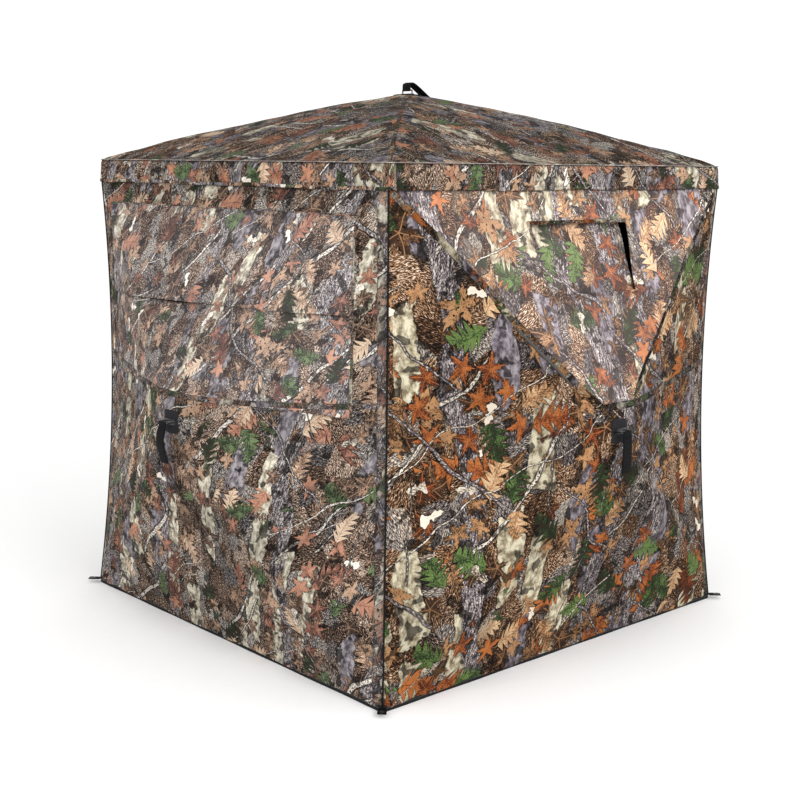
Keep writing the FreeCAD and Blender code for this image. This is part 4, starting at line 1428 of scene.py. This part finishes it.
def build_stake_loops():
    """Webbing tabs at the foot of the corners, each with a hole for its eyelet."""
    hole, half, tail, bevel = 0.0071, 0.0125, 0.030, 0.0004     # tail: towards the cabin
    foot, top = (corner[2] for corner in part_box("stake_loops"))
    eyelets = cad_points("stake_grommets")[:, :2]
    made = []
    for turn in (45, 135, 225, 315):
        a = math.radians(turn)
        out = np.array([math.cos(a), math.sin(a)])
        side = np.array([-out[1], out[0]])
        near = eyelets[eyelets @ out > 0.9]
        centre = (near.min(axis=0) + near.max(axis=0)) / 2
        rings = []
        for share in (0.0, 0.35, 1.0):
            ring = []
            for b in turns(24):
                c, s = math.cos(b), math.sin(b)
                reach = min(half / max(abs(s), 1e-6), (half if c > 0 else tail) / max(abs(c), 1e-6))
                r = hole + (reach - hole) * share
                ring.append(centre + out * (c * r) + side * (s * r))
            rings.append(ring)
        points = []
        for k, z in ((0, top), (1, top), (2, top - bevel), (2, foot + bevel), (1, foot), (0, foot)):
            points += [(x, y, z) for x, y in rings[k]]
        faces = [f[::-1] for f in skin_rings(6, len(rings[0]), closed=True)]
        seam = np.array([(p @ out, p @ side) for ring in rings for p in ring] * 2)
        made.append(mesh_object(f"stake_loop_{turn}", points, faces, WEBBING,
                                {"seam": seam, "cloth": seam}, smooth=False))
    settle(joined("stake_loop_webbing", made), "root", "webbing", "stake_loops")


def finish_cad_nodes():
    """Materials for the CAD pieces that stay in view."""
    looks = {"_pole": ROD, "_hub": PLASTIC, "_hub_fasteners": STEEL, "stake_grommets": STEEL,
             "back_door_slider": STEEL}
    for name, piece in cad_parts.items():
        for ending, look in looks.items():
            if name.endswith(ending):
                piece.data.materials.clear()
                piece.data.materials.append(look)


# ---- the studio ----
def put_in_view(name, data, place, right, up, back):
    """A lamp or camera at a place, looking away from its back."""
    made = bpy.data.objects.new(name, data)
    bpy.context.scene.collection.objects.link(made)
    made.location = place
    made.rotation_euler = Matrix(np.column_stack([right, up, back]).tolist()).to_euler()
    return made


def build_lamp(name, place, aim, size, power):
    light = bpy.data.lights.new(name, "AREA")
    light.energy = power
    light.size = size
    back = np.array(place) - np.array(aim)
    back /= np.linalg.norm(back)
    right = np.cross((0, 0, 1), back)
    right /= np.linalg.norm(right)
    put_in_view(name, light, place, right, np.cross(back, right), back)


def build_stage():
    """A white floor and surroundings, a key lamp in front and a fill lamp at the left."""
    half = 14.0
    points = [(-half, -half, 0), (half, -half, 0), (half, half, 0), (-half, half, 0)]
    made, tree, shader = material("studio_floor", 0.9, 0.1)
    finish(tree, shader, mixed(grain(tree, 30.0), linear(0.94), linear(0.97)))
    mesh_object("studio_floor", points, [[0, 1, 2, 3]], made)
    world = bpy.data.worlds.new("studio")
    world.use_nodes = True
    background = world.node_tree.nodes["Background"]
    background.inputs[0].default_value = linear(1.0)
    background.inputs[1].default_value = 1.06
    bpy.context.scene.world = world
    build_lamp("key", (-1.4, -5.6, 3.4), (0.0, -0.4, 0.7), 2.2, 150.0)
    build_lamp("fill", (-5.0, -1.5, 2.2), (-0.3, 0.0, 0.7), 3.4, 45.0)


def build_camera():
    """The view: over the corner between the left wall and the front, from eye height."""
    yaw, pitch, roll = (math.radians(a) for a in (47.664, -10.09, 0.679))
    ahead = np.array([math.cos(yaw) * math.cos(pitch), math.sin(yaw) * math.cos(pitch),
                      math.sin(pitch)])
    right = np.array([math.sin(yaw), -math.cos(yaw), 0.0])
    up = np.cross(right, ahead)
    right, up = (right * math.cos(roll) + up * math.sin(roll),
                 up * math.cos(roll) - right * math.sin(roll))
    lens = bpy.data.cameras.new("camera")
    lens.sensor_width = 36.0
    lens.lens = 59.84
    place = (-2.947, -3.217, 1.4345)
    bpy.context.scene.camera = put_in_view("camera", lens, place, right, up, -ahead)


build_roof()
build_valance()
build_hem()
build_front()
build_back()
build_side_wall("left")
build_side_wall("right")
build_corner_seams()
for each in FACES.values():
    build_patch(each)
    build_strap(each)
build_pockets()
build_stake_loops()
finish_cad_nodes()
build_stage()
build_camera()
bpy.context.scene.view_settings.view_transform = "Standard"
